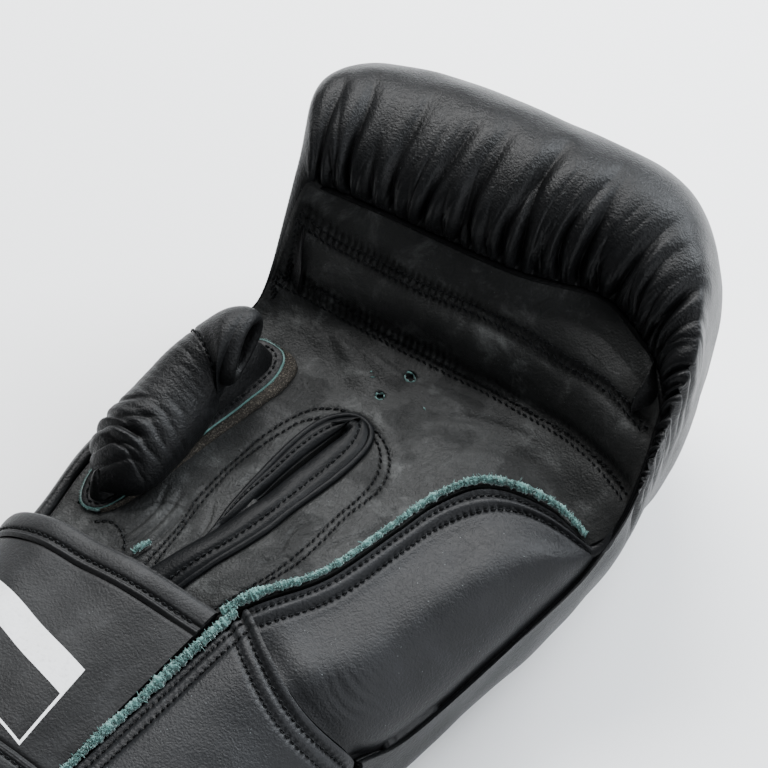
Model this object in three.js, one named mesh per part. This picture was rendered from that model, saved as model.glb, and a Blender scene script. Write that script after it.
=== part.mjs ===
// Open-thumb leather bag glove for the left hand, lying on its back with the palm up.
// Millimetres, +Z up, +Y towards the fingertips, +X towards the little finger.
import * as THREE from 'three';
import { mergeVertices } from 'three/addons/utils/BufferGeometryUtils.js';

// Driving dimensions of the fist and the hand
const HALF_WIDTH = 80;
const FINGER_REACH = 100;
const WRIST_REACH = 100;
const CREST_HEIGHT = 125;
const LEATHER = 2.4;
const BACK_PADDING = 26;
const SIDE_PADDING = 13;
const GATHER_COUNT = 28;
const GATHER_DEPTH = 2.2;
const GRIP_ROLL = 3.2;
const SEAM_GAP = 0.4;
const CUFF_SEAM_SAG = 9;

// Driving dimensions of the cuff and the strap
const CUFF_LENGTH = 78;
const MOUTH_HALF_WIDTH = 70;
const MOUTH_HEIGHT = 62;
const CUFF_PADDING = 13;
const STRAP_WIDTH = 76;
const STRAP_THICKNESS = 2.6;
const STRAP_OVERLAP = 8;
const BINDING_WIDTH = 8;
const BINDING_THICKNESS = 0.9;

// Driving dimensions of the wrist slit and its bound lips
const SLIT_WIDTH = 5;
const LIP_WIDTH = 6;
const LIP_THICKNESS = 1.6;

// Driving dimensions of the thumb
const THUMB_RADIUS = 12.5;
const THUMB_LEATHER = 1.6;
const THUMB_RIM_RADIUS = 2.6;
const FLANGE_WIDTH = 5;
const FLANGE_THICKNESS = 1.4;
const FELT_WIDTH = 5.5;
const FELT_THICKNESS = 1.5;

// Driving dimensions of the raw seam edges and the strap's tab
const RAW_EDGE_WIDTH = 1.8;
const RAW_EDGE_HEIGHT = 2.4;
const TAB_LENGTH = 6;
const TAB_WIDTH = 4;
const TAB_THICKNESS = 1.6;

// Leather colours
const BLACK_LEATHER = { color: 0x2a2b2d, roughness: 0.45, metalness: 0 };
const DARK_LEATHER = { color: 0x222325, roughness: 0.5, metalness: 0 };
const SATIN_BINDING = { color: 0x33363d, roughness: 0.35, metalness: 0 };
const TEAL_SUEDE = { color: 0x6f9a96, roughness: 0.95, metalness: 0 };
const GREY_FELT = { color: 0x5d564c, roughness: 0.95, metalness: 0 };

// Rim of the back pad: from the wrist on the little-finger side, round the finger roll, back to the
// wrist on the thumb side. x, y and z are shares of the half width, the reach and the crest height.
// Outwards from the rim, in the plan direction turn (degrees): crest, waist and foot are shares of the
// finger reach, the two heights and the sole are shares of the crest height, and the paddings are
// shares of the back padding at the crest and at the waist.
const RIM = [
  { x: 0.688, y: -1.0, z: 0.34, turn: 0, crest: 0.02, crestZ: 0.35, waist: 0.025, waistZ: 0.2,
    foot: -0.22, sole: 0.042, padTop: 0.15, padSide: 0.5 },
  { x: 0.775, y: -0.8, z: 0.3, turn: 0, crest: 0.02, crestZ: 0.31, waist: 0.02, waistZ: 0.2,
    foot: -0.26, sole: 0.02, padTop: 0.15, padSide: 0.5 },
  { x: 0.975, y: -0.26, z: 0.384, turn: 0, crest: 0.01, crestZ: 0.392, waist: -0.005, waistZ: 0.27,
    foot: -0.3, sole: 0, padTop: 0.15, padSide: 0.5 },
  { x: 1.034, y: -0.08, z: 0.456, turn: 2, crest: 0.004, crestZ: 0.462, waist: -0.015, waistZ: 0.33,
    foot: -0.32, sole: 0, padTop: 0.15, padSide: 0.5 },
  { x: 1.059, y: 0.05, z: 0.56, turn: 6, crest: 0.01, crestZ: 0.58, waist: -0.002, waistZ: 0.42,
    foot: -0.33, sole: 0, padTop: 0.16, padSide: 0.55 },
  { x: 1.015, y: 0.255, z: 0.672, turn: 25, crest: 0.035, crestZ: 0.745, waist: 0.035, waistZ: 0.5,
    foot: -0.28, sole: 0, padTop: 0.4, padSide: 0.65 },
  { x: 0.979, y: 0.311, z: 0.704, turn: 40, crest: 0.07, crestZ: 0.805, waist: 0.085, waistZ: 0.53,
    foot: -0.24, sole: 0, padTop: 0.5, padSide: 0.7 },
  { x: 0.894, y: 0.384, z: 0.728, turn: 60, crest: 0.13, crestZ: 0.87, waist: 0.2, waistZ: 0.56,
    foot: -0.18, sole: 0, padTop: 0.6, padSide: 0.8 },
  { x: 0.796, y: 0.427, z: 0.752, turn: 74, crest: 0.185, crestZ: 0.92, waist: 0.365, waistZ: 0.58,
    foot: -0.1, sole: 0, padTop: 0.7, padSide: 0.9 },
  { x: 0.585, y: 0.478, z: 0.768, turn: 83, crest: 0.215, crestZ: 0.97, waist: 0.51, waistZ: 0.59,
    foot: 0, sole: 0, padTop: 0.75, padSide: 1 },
  { x: 0.241, y: 0.404, z: 0.784, turn: 90, crest: 0.25, crestZ: 1, waist: 0.61, waistZ: 0.61,
    foot: 0.06, sole: 0, padTop: 0.75, padSide: 1 },
  { x: -0.356, y: 0.359, z: 0.808, turn: 97, crest: 0.275, crestZ: 0.985, waist: 0.61, waistZ: 0.625,
    foot: 0.08, sole: 0, padTop: 0.75, padSide: 1 },
  { x: -0.568, y: 0.325, z: 0.816, turn: 118, crest: 0.23, crestZ: 0.955, waist: 0.47, waistZ: 0.64,
    foot: 0, sole: 0, padTop: 0.7, padSide: 0.9 },
  { x: -0.6, y: 0.27, z: 0.76, turn: 132, crest: 0.07, crestZ: 0.84, waist: 0.13, waistZ: 0.58,
    foot: -0.04, sole: 0, padTop: 0.5, padSide: 0.7 },
  { x: -0.635, y: 0.087, z: 0.536, turn: 168, crest: 0.01, crestZ: 0.55, waist: 0.02, waistZ: 0.4,
    foot: -0.1, sole: 0, padTop: 0.2, padSide: 0.6 },
  { x: -0.713, y: -0.1, z: 0.48, turn: 178, crest: 0.02, crestZ: 0.5, waist: 0.08, waistZ: 0.32,
    foot: -0.18, sole: 0, padTop: 0.15, padSide: 0.5 },
  { x: -0.8, y: -0.6, z: 0.464, turn: 181, crest: 0.02, crestZ: 0.48, waist: 0.085, waistZ: 0.28,
    foot: -0.2, sole: 0.004, padTop: 0.15, padSide: 0.5 },
  { x: -0.79, y: -0.86, z: 0.456, turn: 180, crest: 0.02, crestZ: 0.47, waist: 0.085, waistZ: 0.28,
    foot: -0.19, sole: 0.042, padTop: 0.15, padSide: 0.5 },
  { x: -0.775, y: -1.0, z: 0.456, turn: 180, crest: 0.02, crestZ: 0.47, waist: 0.095, waistZ: 0.28,
    foot: -0.18, sole: 0.042, padTop: 0.15, padSide: 0.5 },
];
const RIM_SIDE_TIP = 3;
const RIM_LITTLE_CORNER = 6;
const RIM_INDEX_CORNER = 12;

// Seam of the palm with the side pad, from under the strap to the pad's tip, as shares like the rim's
const SIDE_SEAM = [
  { x: 0.03, y: -0.997, z: 0.49 },
  { x: 0.11, y: -0.86, z: 0.545 },
  { x: 0.285, y: -0.66, z: 0.55 },
  { x: 0.39, y: -0.41, z: 0.545 },
  { x: 0.447, y: -0.26, z: 0.538 },
  { x: 0.565, y: -0.128, z: 0.535 },
  { x: 0.795, y: -0.075, z: 0.51 },
  { x: 1.0, y: -0.092, z: 0.458 },
];
const SIDE_SEAM_CUFF = 1;

// Rows of the palm from the wrist to the finger seam: v along the palm, left as a row number of the
// rim, right as a row number of the right edge (the side seam, then the rim), middle as shares
const PALM_ROWS = [
  { v: 0, left: 18, right: 0, x: -0.36, y: -0.997, z: 0.485 },
  { v: 0.2, left: 16.8, right: 1.6, x: -0.28, y: -0.74, z: 0.506 },
  { v: 0.42, left: 15.7, right: 3.2, x: -0.17, y: -0.4, z: 0.506 },
  { v: 0.6, left: 14.8, right: 5, x: -0.01, y: -0.12, z: 0.508 },
  { v: 0.72, left: 14.3, right: 6.4, x: 0.08, y: 0.05, z: 0.518 },
  { v: 0.8, left: 14, right: 8, x: 0.13, y: 0.17, z: 0.548 },
  { v: 0.9, left: 13.3, right: 9, x: 0.18, y: 0.3, z: 0.7 },
  { v: 1, left: 12, right: 10, x: 0.23, y: 0.403, z: 0.786 },
];
const CREASE_LOW = 0.8;
const CREASE_HIGH = 0.92;

// Ring of the cuff, from the raw palm seam round the little-finger side and the back to the thumb
// side: x and z as shares of the half width and the crest height at the wrist, then of the mouth's
const CUFF_RING = [
  { x: 0.061, z: 0.552, mouthX: -0.13, mouthZ: 0.999 },
  { x: 0.289, z: 0.599, mouthX: 0.11, mouthZ: 1.078 },
  { x: 0.551, z: 0.56, mouthX: 0.42, mouthZ: 1.056 },
  { x: 0.665, z: 0.459, mouthX: 0.65, mouthZ: 0.892 },
  { x: 0.7, z: 0.342, mouthX: 0.74, mouthZ: 0.621 },
  { x: 0.726, z: 0.168, mouthX: 0.72, mouthZ: 0.294 },
  { x: 0.499, z: 0.048, mouthX: 0.46, mouthZ: 0.085 },
  { x: 0, z: 0.038, mouthX: -0.08, mouthZ: 0.077 },
  { x: -0.56, z: 0.042, mouthX: -0.68, mouthZ: 0.085 },
  { x: -0.814, z: 0.112, mouthX: -0.94, mouthZ: 0.226 },
  { x: -0.936, z: 0.286, mouthX: -1.05, mouthZ: 0.542 },
  { x: -0.875, z: 0.431, mouthX: -0.97, mouthZ: 0.813 },
  { x: -0.691, z: 0.515, mouthX: -0.75, mouthZ: 0.96 },
  { x: -0.499, z: 0.521, mouthX: -0.57, mouthZ: 0.977 },
];
const CUFF_PINKY_ROW = 4;
const STRAP_FIRST_ROW = 7;

// Strap where it crosses the slit, as shares like the cuff's ring
const STRAP_CROSSING = [
  { x: -0.289, z: 0.538, mouthX: -0.38, mouthZ: 0.994 },
  { x: -0.026, z: 0.518, mouthX: -0.2, mouthZ: 0.937 },
];

// Spine of the thumb: x, y and z as shares like the rim's, yaw and tilt of the section in degrees, and
// its two radii as shares of the thumb's radius
const THUMB_SPINE = [
  { x: -0.62, y: -0.72, z: 0.526, yaw: 0, tilt: 0, wide: 0.6, tall: 0.45 },
  { x: -0.62, y: -0.64, z: 0.54, yaw: 0, tilt: 0, wide: 0.9, tall: 0.75 },
  { x: -0.615, y: -0.5, z: 0.553, yaw: 0, tilt: 0, wide: 1, tall: 0.93 },
  { x: -0.61, y: -0.34, z: 0.58, yaw: 8, tilt: -4, wide: 0.95, tall: 1 },
  { x: -0.58, y: -0.25, z: 0.62, yaw: 45, tilt: -18, wide: 0.9, tall: 0.9 },
  { x: -0.47, y: -0.2, z: 0.665, yaw: 84, tilt: -30, wide: 0.98, tall: 0.62 },
];
const THUMB_SEAT = 0.505;

// Middle and radii of the thumb flange on the palm, as shares across and along it
const FLANGE = { u: 0.127, v: 0.413, across: 0.103, along: 0.222 };

// Place of the strap's tab on the palm
const TAB = { u: 0.42, v: 0.125 };

// The value of one column of a table at a row number, smooth through the rows
function between(rows, column, at) {
  const last = rows.length - 1;
  const i = Math.min(Math.max(Math.floor(at), 0), last - 1);
  const t = at - i;
  const start = rows[i][column];
  const end = rows[i + 1][column];
  const before = i > 0 ? rows[i - 1][column] : 2 * start - end;
  const after = i + 2 <= last ? rows[i + 2][column] : 2 * end - start;
  const startSlope = (end - before) / 2;
  const endSlope = (after - start) / 2;
  return start * (2 * t ** 3 - 3 * t ** 2 + 1) + startSlope * (t ** 3 - 2 * t ** 2 + t)
    + end * (3 * t ** 2 - 2 * t ** 3) + endSlope * (t ** 3 - t ** 2);
}

// A place from shares of the half width, the reach on its side of the palm's middle and the height
function place(x, y, z) {
  const reach = y > 0 ? FINGER_REACH : WRIST_REACH;
  return new THREE.Vector3(x * HALF_WIDTH, y * reach, z * CREST_HEIGHT);
}

function placeOn(rows, at) {
  return place(between(rows, 'x', at), between(rows, 'y', at), between(rows, 'z', at));
}

const mix = (a, b, share) => a + (b - a) * share;
const range = (count) => Array.from({ length: count + 1 }, (_, i) => i / count);
const radians = THREE.MathUtils.degToRad;

// Row numbers that divide a curve into equal lengths
function evenly(curve, from, to, count, fineness = 240) {
  const marks = range(fineness).map((share) => mix(from, to, share));
  const points = marks.map(curve);
  const lengths = [0];
  for (let i = 1; i < points.length; i += 1) {
    lengths.push(lengths[i - 1] + points[i].distanceTo(points[i - 1]));
  }
  return range(count).map((share) => {
    const wanted = share * lengths[fineness];
    let i = 1;
    while (i < fineness && lengths[i] < wanted) i += 1;
    const part = (wanted - lengths[i - 1]) / (lengths[i] - lengths[i - 1]);
    return mix(marks[i - 1], marks[i], part);
  });
}

// The skin of one closed body, gathered as triangles
class Skin {
  constructor() {
    this.corners = [];
  }

  triangle(a, b, c) {
    if (a.distanceTo(b) > 1e-6 && b.distanceTo(c) > 1e-6 && c.distanceTo(a) > 1e-6) {
      this.corners.push(a, b, c);
    }
  }

  // A band of triangles between two rows of points, which may have different counts
  band(lower, upper) {
    let i = 0;
    let j = 0;
    while (i < lower.length - 1 || j < upper.length - 1) {
      const lowerLeft = i < lower.length - 1;
      const upperLeft = j < upper.length - 1;
      const lowerSpan = lowerLeft ? lower[i + 1].distanceTo(upper[j]) : Infinity;
      const upperSpan = upperLeft ? lower[i].distanceTo(upper[j + 1]) : Infinity;
      if (lowerSpan <= upperSpan) {
        this.triangle(lower[i], lower[i + 1], upper[j]);
        i += 1;
      } else {
        this.triangle(lower[i], upper[j + 1], upper[j]);
        j += 1;
      }
    }
  }

  quad(a, b, c, d) {
    this.triangle(a, b, c);
    this.triangle(a, c, d);
  }

  mesh(name, look) {
    let geometry = new THREE.BufferGeometry().setFromPoints(this.corners);
    geometry = mergeVertices(geometry, 1e-4);
    if (signedVolume(geometry) < 0) {
      const index = geometry.index;
      for (let i = 0; i < index.count; i += 3) {
        const first = index.getX(i);
        index.setX(i, index.getX(i + 1));
        index.setX(i + 1, first);
      }
    }
    geometry.computeVertexNormals();
    const mesh = new THREE.Mesh(geometry, new THREE.MeshStandardMaterial(look));
    mesh.name = name;
    return mesh;
  }
}

function signedVolume(geometry) {
  const { index, attributes } = geometry;
  const corner = (i) => new THREE.Vector3().fromBufferAttribute(attributes.position, index.getX(i));
  let volume = 0;
  for (let i = 0; i < index.count; i += 3) {
    volume += corner(i).dot(corner(i + 1).cross(corner(i + 2))) / 6;
  }
  return volume;
}

// A wall between an outer and an inner grid of points, with the cells that keep() names
function wall(name, look, outer, inner, keep = () => true) {
  const skin = new Skin();
  const rows = outer.length - 1;
  const columns = outer[0].length - 1;
  const kept = (i, j) => i >= 0 && j >= 0 && i < rows && j < columns && keep(i, j);
  const loops = outer[0][0].distanceTo(outer[0][columns]) < 1e-6;
  const keptAround = (i, j) => kept(i, loops ? (j + columns) % columns : j);
  for (let i = 0; i < rows; i += 1) {
    for (let j = 0; j < columns; j += 1) {
      if (kept(i, j)) {
        const cell = [[i, j], [i + 1, j], [i + 1, j + 1], [i, j + 1]];
        skin.quad(...cell.map(([r, c]) => outer[r][c]));
        skin.quad(...cell.map(([r, c]) => inner[r][c]).reverse());
        const beside = [keptAround(i, j - 1), kept(i + 1, j), keptAround(i, j + 1), kept(i - 1, j)];
        beside.forEach((joined, side) => {
          if (!joined) {
            const [r, c] = cell[side];
            const [r2, c2] = cell[(side + 1) % 4];
            skin.quad(outer[r2][c2], outer[r][c], inner[r][c], inner[r2][c2]);
          }
        });
      }
    }
  }
  return skin.mesh(name, look);
}

// Back pad: the padded back of the hand and the finger roll

const rimPoint = (at) => placeOn(RIM, at);

function bezier(a, b, c, d, t) {
  const s = 1 - t;
  const blend = (key) => s ** 3 * a[key] + 3 * s * s * t * b[key] + 3 * s * t * t * c[key] + t ** 3 * d[key];
  return { out: blend('out'), z: blend('z') };
}

// Length of the handles that make a Bezier curve a quarter circle
const ROUND = 0.5523;

// The turning points of the pad's section at a rim row: rim, crest, waist and foot, out from the rim
function sectionPoints(at, inside) {
  const rimZ = rimPoint(at).z;
  const length = (column) => between(RIM, column, at) * FINGER_REACH;
  const height = (column) => between(RIM, column, at) * CREST_HEIGHT;
  const outer = {
    rim: { out: 0, z: rimZ },
    crest: { out: length('crest'), z: Math.max(height('crestZ'), rimZ + 0.5) },
    waist: { out: length('waist'), z: height('waistZ') },
    foot: { out: length('foot'), z: Math.max(height('sole'), 0) },
  };
  if (!inside) return outer;
  const crestPad = between(RIM, 'padTop', at) * BACK_PADDING;
  const sidePad = between(RIM, 'padSide', at) * BACK_PADDING;
  const rim = { out: 0, z: rimZ - LEATHER };
  const waist = { out: outer.waist.out - sidePad, z: mix(BACK_PADDING, rim.z, 0.35) };
  const inRoll = THREE.MathUtils.smoothstep(waist.out / FINGER_REACH, 0, 0.1);
  const crest = {
    out: mix(0.45 * waist.out, Math.min(outer.crest.out, waist.out), inRoll),
    z: mix(mix(rim.z, waist.z, 0.55), Math.max(outer.crest.z - crestPad, rim.z), inRoll),
  };
  return { rim, crest, waist, foot: { out: outer.foot.out, z: BACK_PADDING } };
}

// The section's point: t runs from 0 at the rim over 1 at the crest and 2 at the waist to 3 at the foot
function sectionPoint(at, t, inside) {
  const { rim, crest, waist, foot } = sectionPoints(at, inside);
  const rise = crest.z - rim.z;
  if (t <= 1) {
    if (rise < 0) return { out: mix(rim.out, crest.out, t), z: mix(rim.z, crest.z, t) };
    const above = { out: -0.1 * rise, z: rim.z + 0.6 * rise };
    return bezier(rim, above, { out: mix(crest.out, rim.out, ROUND), z: crest.z }, crest, t);
  }
  if (t <= 2) {
    return bezier(crest, { out: mix(crest.out, waist.out, ROUND), z: crest.z },
      { out: waist.out, z: mix(waist.z, crest.z, ROUND) }, waist, t - 1);
  }
  return bezier(waist, { out: waist.out, z: mix(waist.z, foot.z, ROUND) },
    { out: mix(foot.out, waist.out, ROUND), z: foot.z }, foot, t - 2);
}

const GATHER_FROM = RIM_SIDE_TIP + 1;
const GATHER_TO = RIM_INDEX_CORNER + 0.5;

// Depth of the gathers: none at the stitches, deepest just above them, gone past the crest
function gatherDepth(at, t) {
  const reach = Math.max(0, 1 - t / 1.3);
  const share = (at - GATHER_FROM) / (GATHER_TO - GATHER_FROM);
  const within = Math.max(0, Math.sin(Math.PI * Math.min(Math.max(share, 0), 1))) ** 0.4;
  const wave = Math.cos(2 * Math.PI * GATHER_COUNT * share + 1.3 * Math.sin(9 * share));
  return GATHER_DEPTH * 5.2 * t * reach * reach * within * wave;
}

function backPoint(at, t, inside = false) {
  const { out, z } = sectionPoint(at, t, inside);
  const turn = radians(between(RIM, 'turn', at));
  const fold = inside ? 0 : gatherDepth(at, t);
  const outwards = out + SEAM_GAP - fold * 0.9;
  const point = rimPoint(at);
  point.x += Math.cos(turn) * outwards;
  point.y += Math.sin(turn) * outwards;
  point.z = z + fold * 0.3;
  return point;
}

function backPad() {
  const last = RIM.length - 1;
  const sideColumns = 9;
  const thumbColumns = 10;
  const pinky = evenly(rimPoint, 0, GATHER_FROM, sideColumns);
  const thumb = evenly(rimPoint, GATHER_TO, last, thumbColumns);
  const columns = (perGather) => [
    ...pinky.slice(0, -1),
    ...evenly(rimPoint, GATHER_FROM, GATHER_TO, Math.round(GATHER_COUNT * perGather)),
    ...thumb.slice(1),
  ];
  const fine = columns(3);
  const coarse = columns(1);
  const row = (marks, t, inside) => marks.map((at) => backPoint(at, t, inside));
  const outer = [
    ...[0, 0.16, 0.36, 0.62].map((t) => row(fine, t, false)),
    ...[0.95, 1.3, 1.65, 2, 2.3, 2.65, 3].map((t) => row(coarse, t, false)),
  ];
  const inner = [0, 0.35, 0.7, 1, 1.5, 2, 2.5, 3].map((t) => row(coarse, t, true));
  const skin = new Skin();
  outer.slice(1).forEach((upper, i) => skin.band(outer[i], upper));
  inner.slice(1).forEach((upper, i) => skin.band(upper, inner[i]));
  skin.band(inner[0], outer[0]);
  const halves = (foot) => {
    const middle = Math.floor(foot.length / 2);
    return [foot.slice(0, middle + 1), foot.slice(middle).reverse()];
  };
  const [outerPinky, outerThumb] = halves(outer[outer.length - 1]);
  const [innerPinky, innerThumb] = halves(inner[inner.length - 1]);
  skin.band(outerPinky, outerThumb);
  skin.band(innerThumb, innerPinky);
  const wristEnd = (rows) => [
    ...rows.map((points) => points[0]),
    ...[...rows].reverse().map((points) => points[points.length - 1]),
  ];
  skin.band(wristEnd(outer), wristEnd(inner));
  return skin.mesh('back_pad', BLACK_LEATHER);
}

// Palm panel: the inner hand, its grip roll, the wrist slit and the thumb's opening

const sideSeamPoint = (at) => placeOn(SIDE_SEAM, at);
const SIDE_SEAM_END = SIDE_SEAM.length - 1;

// Right edge of the palm: the side seam, then the rim from the side pad's tip on
function palmRightEdge(at) {
  if (at <= SIDE_SEAM_END) return sideSeamPoint(at);
  const past = at - SIDE_SEAM_END;
  return rimPoint(RIM_SIDE_TIP + Math.max(past, 0.3 + 0.7 * past));
}

function rowNumber(rows, column, value) {
  let i = 0;
  while (i < rows.length - 2 && rows[i + 1][column] < value) i += 1;
  return i + (value - rows[i][column]) / (rows[i + 1][column] - rows[i][column]);
}

const FINGER_SEAM_MARKS = evenly(rimPoint, RIM_INDEX_CORNER, RIM_LITTLE_CORNER, 60);

function fingerSeamPoint(u) {
  const at = u * (FINGER_SEAM_MARKS.length - 1);
  const i = Math.min(Math.floor(at), FINGER_SEAM_MARKS.length - 2);
  return rimPoint(mix(FINGER_SEAM_MARKS[i], FINGER_SEAM_MARKS[i + 1], at - i));
}

// A curve through three points, at u = 0, 0.5 and 1
function throughThree(left, middle, right, u) {
  return new THREE.Vector3()
    .addScaledVector(left, 2 * (u - 0.5) * (u - 1))
    .addScaledVector(middle, -4 * u * (u - 1))
    .addScaledVector(right, 2 * u * (u - 0.5));
}

function palmPoint(u, v) {
  const row = rowNumber(PALM_ROWS, 'v', v);
  const left = rimPoint(between(PALM_ROWS, 'left', row));
  const right = palmRightEdge(between(PALM_ROWS, 'right', row));
  const point = throughThree(left, placeOn(PALM_ROWS, row), right, u);
  const lastRow = PALM_ROWS.length - 1;
  const top = throughThree(rimPoint(RIM_INDEX_CORNER), placeOn(PALM_ROWS, lastRow),
    rimPoint(RIM_LITTLE_CORNER), u);
  const follow = THREE.MathUtils.smoothstep(v, 0.6, 1);
  point.addScaledVector(fingerSeamPoint(u).sub(top), follow);
  const grip = (v - CREASE_LOW) / (CREASE_HIGH - CREASE_LOW);
  if (grip > 0 && grip < 1) {
    const swell = GRIP_ROLL * Math.sin(Math.PI * grip) * Math.sin(Math.PI * u) ** 0.25;
    point.y -= 0.6 * swell;
    point.z += 0.8 * swell;
  }
  return point;
}

const SLIT_TOP = 0.58;
const SLIT_COLUMN = 11;
const slitMiddle = (v) => 0.705 - 0.25 * v;

function palmWidth(v) {
  return palmPoint(0, v).distanceTo(palmPoint(1, v));
}

function palmPanel() {
  const columns = 18;
  const rows = [0.004, 0.09, 0.16, 0.24, 0.32, 0.4, 0.49, SLIT_TOP, 0.62, 0.655, 0.69, 0.72, 0.75, 0.775,
    CREASE_LOW, 0.83, 0.86, 0.89, CREASE_HIGH, 0.96, 0.9955];
  const across = (v) => {
    const half = SLIT_WIDTH / 2 / palmWidth(v) * Math.min(1, Math.max(0.2, (1.08 * SLIT_TOP - v) * 6));
    const edge = SEAM_GAP / palmWidth(v);
    const left = slitMiddle(v) - half;
    const right = slitMiddle(v) + half;
    return range(columns).map((_, j) => (j <= SLIT_COLUMN
      ? mix(edge, left, j / SLIT_COLUMN)
      : mix(right, 1 - edge, (j - SLIT_COLUMN - 1) / (columns - SLIT_COLUMN - 1))));
  };
  const outer = rows.map((v) => across(v).map((u) => palmPoint(u, v)));
  const inner = outer.map((row) => row.map((point) => point.clone().setZ(point.z - LEATHER)));
  const inSlit = (i, j) => j === SLIT_COLUMN && rows[i] < SLIT_TOP;
  const inThumb = (i, j) => j >= 1 && j <= 3 && rows[i] >= 0.2 && rows[i] < 0.49;
  return wall('palm_panel', BLACK_LEATHER, outer, inner, (i, j) => !inSlit(i, j) && !inThumb(i, j));
}

// A strip that lies on the palm, between two edges given as functions of v
function palmStrip(name, look, rows, leftEdge, rightEdge, thickness, columns = 2) {
  const lift = (height) => rows.map((v) => range(columns).map((share) => {
    const point = palmPoint(mix(leftEdge(v), rightEdge(v), share), v);
    return point.setZ(point.z + height);
  }));
  return wall(name, look, lift(SEAM_GAP + thickness), lift(SEAM_GAP));
}

function slitLips() {
  const rows = range(10).map((share) => mix(0.085, SLIT_TOP + 0.012, share));
  const lipShare = (v) => LIP_WIDTH / palmWidth(v);
  const close = 0.15;
  const clear = (v) => SEAM_GAP / palmWidth(v);
  return [
    palmStrip('slit_lip_little', SATIN_BINDING, rows, (v) => slitMiddle(v) - close * lipShare(v),
      (v) => slitMiddle(v) + lipShare(v), LIP_THICKNESS),
    palmStrip('slit_lip_thumb', SATIN_BINDING, rows, (v) => slitMiddle(v) - lipShare(v),
      (v) => slitMiddle(v) - close * lipShare(v) - 2 * clear(v), LIP_THICKNESS * 0.8),
  ];
}

// Side pad: the puffy pad of the little-finger side, between the side seam and the rim

function sidePadEdge(s) {
  return {
    palm: sideSeamPoint(mix(SIDE_SEAM_CUFF, SIDE_SEAM_END, s)),
    back: rimPoint(RIM_SIDE_TIP * s),
  };
}

function sidePadPoint(s, w, height) {
  const { palm, back } = sidePadEdge(s);
  const ahead = sidePadEdge(s + 0.04);
  const along = ahead.palm.add(ahead.back).sub(palm).sub(back);
  const up = new THREE.Vector3().subVectors(palm, back).cross(along).normalize();
  if (up.z < 0) up.negate();
  up.y *= THREE.MathUtils.smoothstep(s, 0, 0.2);
  const swell = Math.max(0, Math.sin(Math.PI * w)) ** 0.6;
  const taper = Math.sqrt(Math.max(0, 1 - s ** 3)) * (0.85 + 0.3 * Math.sin(Math.PI * s));
  const point = palm.clone().lerp(back, w);
  const cuffLean = Math.max(0, 1 - s / 0.3) ** 2;
  point.y -= CUFF_SEAM_SAG * cuffLean * Math.sin(Math.PI * w);
  if (height === 0) return point.setZ(point.z - LEATHER);
  return point.addScaledVector(up, height * swell * taper);
}

function sidePad() {
  const rows = range(12).map((share) => 0.985 * share);
  const columns = range(9);
  const grid = (height) => rows.map((s) => columns.map((share) => {
    const { palm, back } = sidePadEdge(s);
    const clear = 2 * SEAM_GAP / palm.distanceTo(back);
    return sidePadPoint(s, mix(clear, 1 - clear, share), height);
  }));
  return wall('side_pad', BLACK_LEATHER, grid(SIDE_PADDING), grid(0));
}

// Cuff and strap

function ringPoint(rows, at, beyond) {
  const share = beyond / CUFF_LENGTH;
  const mouthX = between(rows, 'mouthX', at) * MOUTH_HALF_WIDTH;
  const mouthZ = between(rows, 'mouthZ', at) * MOUTH_HEIGHT;
  const x = mix(between(rows, 'x', at) * HALF_WIDTH, mouthX, share);
  const z = mix(between(rows, 'z', at) * CREST_HEIGHT, mouthZ, share);
  return new THREE.Vector3(x, -WRIST_REACH - beyond, z);
}

// The ring's point moved out of the ring, or into it where the distance is below zero
function ringOffset(rows, at, beyond, distance) {
  const point = ringPoint(rows, at, beyond);
  const along = ringPoint(rows, at + 0.05, beyond).sub(ringPoint(rows, at - 0.05, beyond));
  const out = new THREE.Vector3(along.z, 0, -along.x).normalize().negate();
  return point.addScaledVector(out, distance);
}

function cuffPoint(at, beyond, distance) {
  const share = beyond / CUFF_LENGTH;
  if (at >= CUFF_PINKY_ROW) {
    const clear = SEAM_GAP * (1 + 7 * Math.exp(2 * (CUFF_PINKY_ROW - at)));
    return ringOffset(CUFF_RING, at, beyond + clear * (1 - share), distance);
  }
  const front = sidePadPoint(0, at / CUFF_PINKY_ROW, distance < 0 ? 0 : SIDE_PADDING);
  front.y -= 2 * SEAM_GAP;
  return front.lerp(ringOffset(CUFF_RING, at, CUFF_LENGTH, distance), share);
}

function cuffPad() {
  const marks = [...range(8).map((share) => share * CUFF_PINKY_ROW),
    ...range(20).slice(1).map((share) => mix(CUFF_PINKY_ROW, CUFF_RING.length - 1, share))];
  const depths = [0, 0.1, 0.35, 0.7, 1].map((share) => share * CUFF_LENGTH);
  const grid = (distance) => depths.map((beyond) => marks.map((at) => cuffPoint(at, beyond, distance)));
  return wall('cuff_pad', BLACK_LEATHER, grid(0), grid(-CUFF_PADDING));
}

const STRAP_RING = [...CUFF_RING.slice(STRAP_FIRST_ROW), ...STRAP_CROSSING];

function strapBand(name, look, { from, width, low, high, bands }) {
  const marks = evenly((at) => ringPoint(STRAP_RING, at, 0), 0, STRAP_RING.length - 1, 26);
  const depths = range(bands).map((share) => from + share * width);
  const grid = (distance) => depths.map((beyond) => marks.map((at) => ringOffset(STRAP_RING, at,
    beyond, distance)));
  return wall(name, look, grid(high), grid(low));
}

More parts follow.
